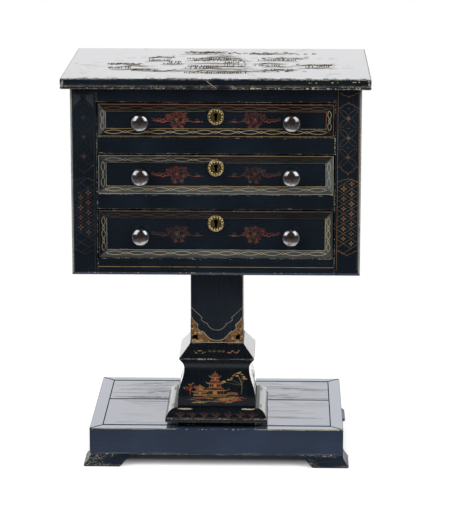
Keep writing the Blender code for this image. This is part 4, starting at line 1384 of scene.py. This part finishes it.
def paint_shoulder(face, level, rng):
    """A row of small gold scrolls, dots and leaves."""
    for sign in SIDES.values():
        for reach in (5, 13):
            u = sign * reach * MM
            face.stroke("dull_gilt", arc((u, level - 1 * MM), 3.4 * MM, 10, 170), 0.7 * MM)
            face.dot("orange", (u, level), 1.0 * MM)
        for k in range(9):
            root = (sign * (20 + 2.6 * k) * MM, level + rng.uniform(-2.4, 2.4) * MM)
            colour = rng.choice(("orange", "gilt", "dull_gilt"))
            tip = (root[0] + sign * 3.6 * MM, root[1] + rng.uniform(-2, 2) * MM)
            face.patch(colour, leaf(root, tip, 1.5 * MM))


def worn_arris(face, paint_name, level, count, starts, lengths, rng):
    """Hair-thin bright dashes along an edge; places and lengths in mm."""
    for _ in range(count):
        start = rng.uniform(*starts) * MM
        face.level_line(paint_name, start, start + rng.uniform(*lengths) * MM, level, 0.225 * MM)


def paint_vase():
    half = half_width_at("pedestal_vase")
    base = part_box("pedestal_base_moulding")[1].z
    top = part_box("pedestal_vase")[1].z
    paint_lake_scene(pedestal_face(0, half), base)
    for quarter in range(4):
        rng = random.Random(40 + quarter)
        face = pedestal_face(quarter, half)
        if quarter % 2 == 0:
            paint_shoulder(face, top - 13.5 * MM, rng)
        if quarter:
            spray(face, (0.0, base + 38 * MM), 1, rng)
        worn_arris(face, "cream", top - 25.5 * MM, 18, (-68, 52), (2, 14), rng)


def palmette(face, paint_name, u, low, rng):
    """A fan of five strokes."""
    for spread in (-9, -5, 0, 5, 9):
        tip = (u + spread * MM, low + (20 - 0.35 * abs(spread) + rng.uniform(-1, 1)) * MM)
        line = smooth([(u, low + 10.5 * MM), (u + 0.5 * spread * MM, low + 14 * MM), tip], 4)
        face.stroke(paint_name, line, FINE_LINE)


def paint_base_moulding():
    """Palmettes on the quarter round, a thin fillet line and worn patches along its top edge."""
    half = half_width_at("pedestal_base_moulding")
    low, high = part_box("pedestal_base_moulding")
    for quarter in range(4):
        rng = random.Random(50 + quarter)
        face = pedestal_face(quarter, half)
        face.level_line("faint_rust", -88 * MM, 88 * MM, low.z + 9.4 * MM, 0.7 * MM)
        worn_arris(face, "pale_gilt", low.z + 6.4 * MM, 40, (-95, 88), (2, 9), rng)
        for k in range(-3, 4):
            palmette(face, "faint_rust" if k % 2 else "umber", k * 23 * MM, low.z, rng)
        for start, end in ((-74, -52), (-66, -46), (48, 60), (52, 74)):
            level = high.z - 1.4 * MM
            shore(face, "pale_gilt", start * MM, end * MM, level, 0.3 * MM, 1.5 * MM, rng)


# Ornament on the table top and marks on the platform

# Shores, decks and eaves of the scene on the top, in mm: start and end, level, rise in the middle
TOP_LINES = (
    (-56, 62, -134, 0), (-92, 118, -112, 5), (-162, -64, -102, -8), (66, 152, -94, 4),
    (-206, -112, -82, -8), (-70, 70, -80, 3), (150, 220, -68, 3), (-192, -128, -54, 8),
    (84, 142, -54, 6), (-60, 60, -50, 4), (-212, -150, -26, 10), (140, 224, -34, 6),
    (-112, -66, -22, 4), (64, 130, -14, 6), (-60, 56, -12, 3), (-142, -90, 20, 8), (73, 152, 24, 8),
    (-66, 62, 22, 24), (-50, 46, 48, 26), (96, 172, 58, 6), (-138, -92, 58, 14), (-26, 34, 86, 8),
    (-80, 10, 114, 8), (56, 130, 122, 4), (-66, 4, 144, 6),
)
# Rows of short upright dashes that stand for posts, tiles and planks, in mm: start and end, level
TOP_DASHES = (
    (13, 54, -40), (13, 54, -14), (8, 56, 12), (-48, 44, 36), (-62, 40, 62), (-60, 58, -124),
    (-211, -174, -10), (-208, -160, -62), (170, 217, -22), (168, 214, -46), (-110, -70, -8),
    (-100, -72, 16), (-56, 2, -40), (-60, -6, -66), (70, 120, -30), (76, 150, 46), (-136, -96, 40),
    (90, 146, -84), (-160, -110, -92),
)
# Rows of foliage, in mm: start and end, level, spread either way, and number of strokes
TOP_FOLIAGE = (
    (-76, 8, 146, 10, 34), (10, 54, 138, 8, 8), (56, 130, 140, 9, 18), (130, 186, 132, 6, 9),
    (-142, -86, 84, 14, 10), (76, 172, 74, 10, 12), (-210, -150, -14, 12, 9), (146, 224, -18, 12, 10),
    (-170, -80, -92, 12, 8), (74, 160, -106, 10, 8),
)
TOP_PAINTS = ("ink", "ink", "sepia")
TOP_LINE = 5.2 * MM
ECHO_LINE = 3.0 * MM
FOLIAGE_LINE = 3.6 * MM
WAVER_PITCH = 12 * MM
DASH_PITCH = 4.2 * MM
DASH_WIDTH = 1.9 * MM
DASH_HEIGHT = 15 * MM
TOP_CRACKS = 64
GROOVE_RISE = 7.1 * MM
GROOVE_DEPTH = 1.5 * MM
SEAM_SHARE = 0.566            # where the two boards of the platform meet, from front to back
GRAIN_STROKES = 220
PLATFORM_CRACKS = 9


def waver(start, end, level, rise, rng):
    """A line that wavers and swells upwards in the middle."""
    points = []
    count = max(3, int((end - start) / WAVER_PITCH))
    for i in range(count + 1):
        share = i / count
        lift = rise * math.sin(math.pi * share) + rng.uniform(-5, 5) * MM
        points.append((start + (end - start) * share, level + lift))
    return smooth(points, 3)


def dash_row(face, start, end, level, rng):
    """A row of short, slightly leaning dashes, with some left out."""
    count = int((end - start) / DASH_PITCH)
    for i in range(count + 1):
        u = start + i * DASH_PITCH + rng.uniform(-0.6, 0.6) * MM
        height = rng.uniform(0.6, 1.2) * DASH_HEIGHT
        lean = rng.uniform(-1, 3) * MM
        colour = rng.choice(TOP_PAINTS)
        if rng.random() < 0.8:
            dash = ((u, level - height / 2), (u + lean, level + height / 2))
            face.stroke(colour, dash, DASH_WIDTH)


def top_foliage(face, start, end, level, spread, count, rng):
    """A row of short, wind-blown strokes."""
    for _ in range(count):
        u = rng.uniform(start, end)
        v = level + rng.uniform(-spread, spread)
        length = rng.uniform(4, 12) * MM
        tip = (u + length, v + rng.uniform(-10, 10) * MM)
        bend = ((u + tip[0]) / 2, (v + tip[1]) / 2 + rng.uniform(-4, 4) * MM)
        face.stroke(rng.choice(TOP_PAINTS), smooth([(u, v), bend, tip], 3), FOLIAGE_LINE, True)


def paint_top():
    """A wide lake scene in thin lines and dashes, fine cracks and a chipped front edge."""
    low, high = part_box("table_top")
    face = Surface("case", lambda u, v: (u, v, high.z), (0, 0, 1))
    rng = random.Random(11)
    for row in TOP_LINES:
        line = waver(*(value * MM for value in row), rng)
        face.stroke("ink", line, rng.uniform(0.8, 1.25) * TOP_LINE, True)
        echo = [(u + 6 * MM, v + 9 * MM) for u, v in line]
        face.stroke("sepia", echo, ECHO_LINE, True)
    for start, end, level, spread, count in TOP_FOLIAGE:
        top_foliage(face, start * MM, end * MM, level * MM, spread * MM, count, rng)
    for row in TOP_DASHES:
        dash_row(face, *(value * MM for value in row), rng)
    for _ in range(TOP_CRACKS):
        start = rng.uniform(-278, 250) * MM
        level = rng.uniform(-195, 195) * MM
        length = rng.uniform(4, 26) * MM
        face.level_line("crack", start, start + length, level, rng.uniform(0.5, 1.3) * MM)
    edge = low.y + 5.5 * MM
    chip_row(face, (low.x + 12 * MM, edge), (high.x - 12 * MM, edge), 60, 4.0 * MM, rng, "black")


def paint_top_groove():
    """A gilt line in the groove round the edge of the top."""
    low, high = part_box("table_top")
    for cos, sin in QUARTERS[::2] + QUARTERS[1::2]:
        way = Vector((sin, -cos, 0))
        along = Vector((cos, sin, 0))
        out = (high.y if cos else high.x) - GROOVE_DEPTH
        reach = (high.x if cos else high.y) - GROOVE_DEPTH

        def place(u, v):
            spot = way * out + along * u
            return (spot.x, spot.y, v)

        edge = Surface("case", place, way)
        edge.level_line("dull_gilt", -reach, reach, low.z + GROOVE_RISE, 1.0 * MM)


def mark_platform():
    """Opened joints, grain and small cracks in the platform's top."""
    low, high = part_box("platform_panel")
    outer_low, outer_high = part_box("platform_front_rail")
    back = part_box("platform_back_rail")[1].y
    frame_width = outer_high.y - outer_low.y
    reach = outer_high.x - frame_width
    front_y, back_y = outer_low.y + frame_width, back - frame_width
    seam = low.y + SEAM_SHARE * (high.y - low.y)
    face = Surface("case", lambda u, v: (u, v, high.z), (0, 0, 1))
    for x in (-reach, reach):
        face.upright_line("crack", x, front_y, back_y, 1.5 * MM)
    for y, width in ((front_y, 3.0 * MM), (back_y, 2.4 * MM), (seam, 2.6 * MM)):
        face.level_line("crack", -reach, reach, y, width)
    for sign in SIDES.values():
        for y, rim in ((front_y, outer_low.y), (back_y, back)):
            outer = (sign * (outer_high.x - 1.5 * MM), rim + (y - rim) * 0.06)
            face.stroke("crack", ((sign * reach, y), outer), 1.0 * MM)
    rng = random.Random(60)
    for k in range(GRAIN_STROKES):
        start = rng.uniform(-reach, reach - 50 * MM)
        level = rng.uniform(front_y if k % 2 else seam, back_y)
        end = min(reach, start + rng.uniform(20, 110) * MM)
        rise = rng.uniform(-1, 1) * MM
        face.stroke("grain", ((start, level), (end, level + rise)), rng.uniform(0.25, 0.7) * MM)
    for _ in range(PLATFORM_CRACKS):
        start = rng.choice((-1, 1)) * rng.uniform(100, 160) * MM
        level = rng.uniform(-20, 120) * MM
        shore(face, "crack", start, start + rng.uniform(10, 30) * MM, level, 1.0 * MM, 1.3 * MM, rng)


# Wear

CHIP_CORNERS = 7
FRONT_SPECKS = 60
RAIL_SCRAPES = 16

# Chips on the front edge of the top: start and end of a row as (mm across, mm up), count, size in mm
TOP_EDGE_CHIPS = (
    ((30, 2.6), (270, 2.6), 26, 1.5),
    ((-270, 2.6), (0, 2.6), 12, 1.2),
    ((160, 13), (270, 15), 10, 1.4),
)
# Rubbed stretches along the upper and lower edge of the platform's front, in mm
UPPER_RUBS = ((-238, -170), (-178, -100), (-112, -76), (74, 132), (120, 190), (182, 238))
LOWER_RUBS = ((-236, -150), (-140, -60), (40, 90), (150, 236))


def chip_row(surface, start, end, count, size, rng, paint_name="cream"):
    """Flakes knocked off along an edge, as small ragged spots, mostly of gesso."""
    for _ in range(count):
        middle = between(start, end, rng.random())
        reach = rng.uniform(0.35, 1.0) * size
        stretch = rng.uniform(1.0, 2.8)
        outline = []
        for k in range(CHIP_CORNERS):
            ragged = reach * rng.uniform(0.6, 1.0)
            outline.append(polar(middle, 2 * math.pi * k / CHIP_CORNERS, stretch * ragged, ragged))
        surface.patch(paint_name, outline)


def wear_top_edge(rng):
    low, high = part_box("table_top")
    edge = Surface("case", lambda u, v: (u, low.y, v), (0, -1, 0))
    for start, end, count, size in TOP_EDGE_CHIPS:
        ends = [(u * MM, low.z + v * MM) for u, v in (start, end)]
        chip_row(edge, *ends, count, size * MM, rng)
    for sign in SIDES.values():
        corner = ((sign * 284.5 * MM, low.z + 2 * MM), (sign * 282.5 * MM, high.z - 3 * MM))
        chip_row(edge, *corner, 14, 1.7 * MM, rng, "band_wear")
    scratch = ((-17 * MM, high.z - 3 * MM), (2 * MM, low.z + 2.5 * MM))
    edge.stroke("cream", scratch, 0.7 * MM)


def wear_case(front, base, rng):
    """Chips along the foot and the upright edges of the case."""
    chip_row(front, (-260 * MM, base + 4 * MM), (260 * MM, base + 4 * MM), 24, 1.0 * MM, rng)
    low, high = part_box("right_stile")
    rows = ((low.x + 0.6 * MM, 16, 0.7 * MM), (high.x - 1.5 * MM, 50, 1.1 * MM))
    for sign in SIDES.values():
        for reach, count, size in rows:
            ends = ((sign * reach, base + 8 * MM), (sign * reach, base + 350 * MM))
            chip_row(front, *ends, count, size, rng)


def scuff_rails(front, rng):
    """Light scrapes along the upper and lower edges of the rails between the drawers."""
    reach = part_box("right_stile")[0].x
    for node in ("top_rail", "upper_divider_rail", "lower_divider_rail", "bottom_rail"):
        low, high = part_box(node)
        for _ in range(RAIL_SCRAPES):
            side = rng.choice((-1, 1))
            start = side * reach * (1 - rng.random() ** 2)
            level = rng.choice((low.z + 1.6 * MM, high.z - 1.6 * MM)) + rng.uniform(-1, 1) * MM
            end = max(-reach, min(reach, start + rng.uniform(-9, 9) * MM))
            front.level_line("band_wear", start, end, level, rng.uniform(0.3, 0.8) * MM)


def wear_platform(rng):
    """Chips and rubbed stretches along the platform's front."""
    low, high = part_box("platform_front_rail")
    face = Surface("case", lambda u, v: (u, low.y, v), (0, -1, 0))
    for level in (high.z - 1.2 * MM, low.z + 1.5 * MM):
        chip_row(face, (low.x, level), (high.x, level), 24, 1.0 * MM, rng)
    for start, end in UPPER_RUBS:
        shore(face, "band_gilt", start * MM, end * MM, high.z - 0.9 * MM, 0.2 * MM, 1.3 * MM, rng)
    for start, end in LOWER_RUBS:
        shore(face, "grain", start * MM, end * MM, low.z + 3.4 * MM, 0.2 * MM, 0.8 * MM, rng)


def speck_front(front, base, rng):
    """Pale specks on the stiles and rails, with none on the drawers."""
    for _ in range(FRONT_SPECKS):
        u = rng.uniform(-262, 262) * MM
        v = rng.uniform(6, 350) * MM
        on_drawer = abs(u) < 222 * MM and 32 * MM < v < 328 * MM
        if not on_drawer:
            front.dot("band_wear", (u, base + v), rng.uniform(0.3, 0.7) * MM, 5)


def wear():
    rng = random.Random(5)
    wear_top_edge(rng)
    front = front_surface()
    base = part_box("bottom_rail")[0].z
    wear_case(front, base, rng)
    scuff_rails(front, rng)
    wear_platform(rng)
    speck_front(front, base, rng)


def lay_paint():
    for (body, paint_name), (verts, polygons) in LAYERS.items():
        mesh = bpy.data.meshes.new("%s_%s" % (body, paint_name))
        mesh.from_pydata(verts, [], polygons)
        mesh.update()
        obj = add_object("%s_%s_ornament" % (body, paint_name), mesh)
        obj.data.materials.append(PAINTS[paint_name][0])
        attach(obj, body)


# Studio

def seen_rays(tree):
    """1 for rays from the camera and for those seen in gloss or glass."""
    path = add_node(tree, "ShaderNodeLightPath")
    total = path.outputs["Is Camera Ray"]
    for other in ("Is Glossy Ray", "Is Transmission Ray"):
        total = calculate(tree, "MAXIMUM", total, path.outputs[other])
    return total


def outside_platform(tree, coords):
    """Distance outside the platform's outline on the floor, negative under it."""
    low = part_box("platform_front_rail")[0]
    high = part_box("platform_back_rail")[1]
    split = add_node(tree, "ShaderNodeSeparateXYZ", {0: coords})
    reaches = []
    for axis, start, end in (("X", low.x, high.x), ("Y", low.y, high.y)):
        from_middle = calculate(tree, "SUBTRACT", split.outputs[axis], (start + end) / 2)
        reach = calculate(tree, "ABSOLUTE", from_middle)
        reaches.append(calculate(tree, "SUBTRACT", reach, (end - start) / 2))
    return calculate(tree, "MAXIMUM", *reaches)


def floor_material():
    """White that glows a little where it is seen, but not under the platform's outline, so the shade there
    is partly painted; it fades out at its rim.
    """
    material, tree, shader = new_material("white_floor")
    coords = add_node(tree, "ShaderNodeTexCoord").outputs["Object"]
    # no glow under the platform: painted shade there
    lift = remap(tree, outside_platform(tree, coords), *FLOOR_PAINTED_SHADE_EDGE, 0.0, FLOOR_LIFT)
    set_inputs(tree, shader, {
        "Base Color": (FLOOR_ALBEDO, FLOOR_ALBEDO, FLOOR_ALBEDO, 1.0), "Roughness": 1.0,
        "Specular IOR Level": 0.0, "Emission Color": WHITE,
        "Emission Strength": multiply(tree, seen_rays(tree), lift)})
    distance = add_node(tree, "ShaderNodeVectorMath", {0: coords}, operation="LENGTH").outputs["Value"]
    clear = add_node(tree, "ShaderNodeBsdfTransparent")
    faded = add_node(tree, "ShaderNodeMixShader", {
        0: remap(tree, distance, *FLOOR_FADE), 1: shader.outputs[0], 2: clear.outputs[0]})
    tree.links.new(faded.outputs[0], tree.nodes["Material Output"].inputs["Surface"])
    return material


def make_floor():
    bpy.ops.mesh.primitive_circle_add(vertices=96, radius=FLOOR_RADIUS, fill_type="NGON")
    floor = bpy.context.object
    floor.name = "studio_floor"
    floor.data.materials.append(floor_material())


def reflected_room(tree, depth, height):
    """Brightness and colour of the room in reflections: white behind, dim and warm in front."""
    front = remap(tree, height, *GROUND_HEIGHTS, GROUND_GLOSS, ROOM_GLOSS)
    wall = remap(tree, depth, *WALL_DEPTHS)
    behind = multiply(tree, wall, remap(tree, height, *CEILING_HEIGHTS, 1.0, CEILING_GLOSS))
    dim = multiply(tree, front, calculate(tree, "SUBTRACT", 1.0, behind))
    backdrop = mix(tree, remap(tree, height, *TINT_HEIGHTS), LOW_BACKDROP, HIGH_BACKDROP)
    colour = mix(tree, remap(tree, depth, *WARM_DEPTHS), WARM_ROOM, backdrop)
    return calculate(tree, "ADD", dim, behind), colour


def make_world():
    """Plain light for the object; white to the camera, and the room in reflections."""
    world = bpy.data.worlds.new("studio")
    bpy.context.scene.world = world
    world.use_nodes = True
    tree = world.node_tree
    ambient = tree.nodes["Background"]
    set_inputs(tree, ambient, {"Color": WHITE, "Strength": AMBIENT})
    coords = add_node(tree, "ShaderNodeTexCoord")
    split = add_node(tree, "ShaderNodeSeparateXYZ", {0: coords.outputs["Generated"]})
    brightness, tint = reflected_room(tree, split.outputs["Y"], split.outputs["Z"])
    is_camera = add_node(tree, "ShaderNodeLightPath").outputs["Is Camera Ray"]
    backdrop = add_node(tree, "ShaderNodeBackground", {
        "Color": mix(tree, is_camera, tint, WHITE),
        "Strength": calculate(tree, "MAXIMUM", brightness, is_camera)})
    both = add_node(tree, "ShaderNodeMixShader", {
        0: seen_rays(tree), 1: ambient.outputs[0], 2: backdrop.outputs[0]})
    tree.links.new(both.outputs[0], tree.nodes["World Output"].inputs["Surface"])


def aim_object(name, data, place, way):
    """Add a lamp or camera that looks one way."""
    obj = add_object(name, data)
    obj.location = place
    obj.rotation_mode = "QUATERNION"
    obj.rotation_quaternion = Vector(way).to_track_quat("-Z", "Y")
    return obj


def make_lights():
    for name, (place, size, power, in_gloss) in LAMPS.items():
        data = bpy.data.lights.new(name, "AREA")
        data.shape = "SQUARE"
        data.size = size
        data.energy = power
        lamp = aim_object(name, data, place, Vector(LAMP_AIM) - Vector(place))
        lamp.visible_camera = False
        lamp.visible_glossy = in_gloss


def make_camera():
    data = bpy.data.cameras.new("photo_camera")
    data.lens = CAMERA_LENS
    data.sensor_width = SENSOR
    data.sensor_fit = "AUTO"
    data.clip_end = CAMERA_REACH
    bpy.context.scene.camera = aim_object("photo_camera", data, CAMERA_PLACE, CAMERA_LOOK)


dress_case()
dress_pedestal()
dress_drawers()
settle_rounding()
make_knobs()
trim_escutcheons()
paint_drawers()
paint_case()
paint_case_sides()
paint_column()
paint_vase()
paint_base_moulding()
paint_top()
paint_top_groove()
mark_platform()
wear()
lay_paint()
make_floor()
make_world()
make_lights()
make_camera()
bpy.context.scene.view_settings.view_transform = "Standard"
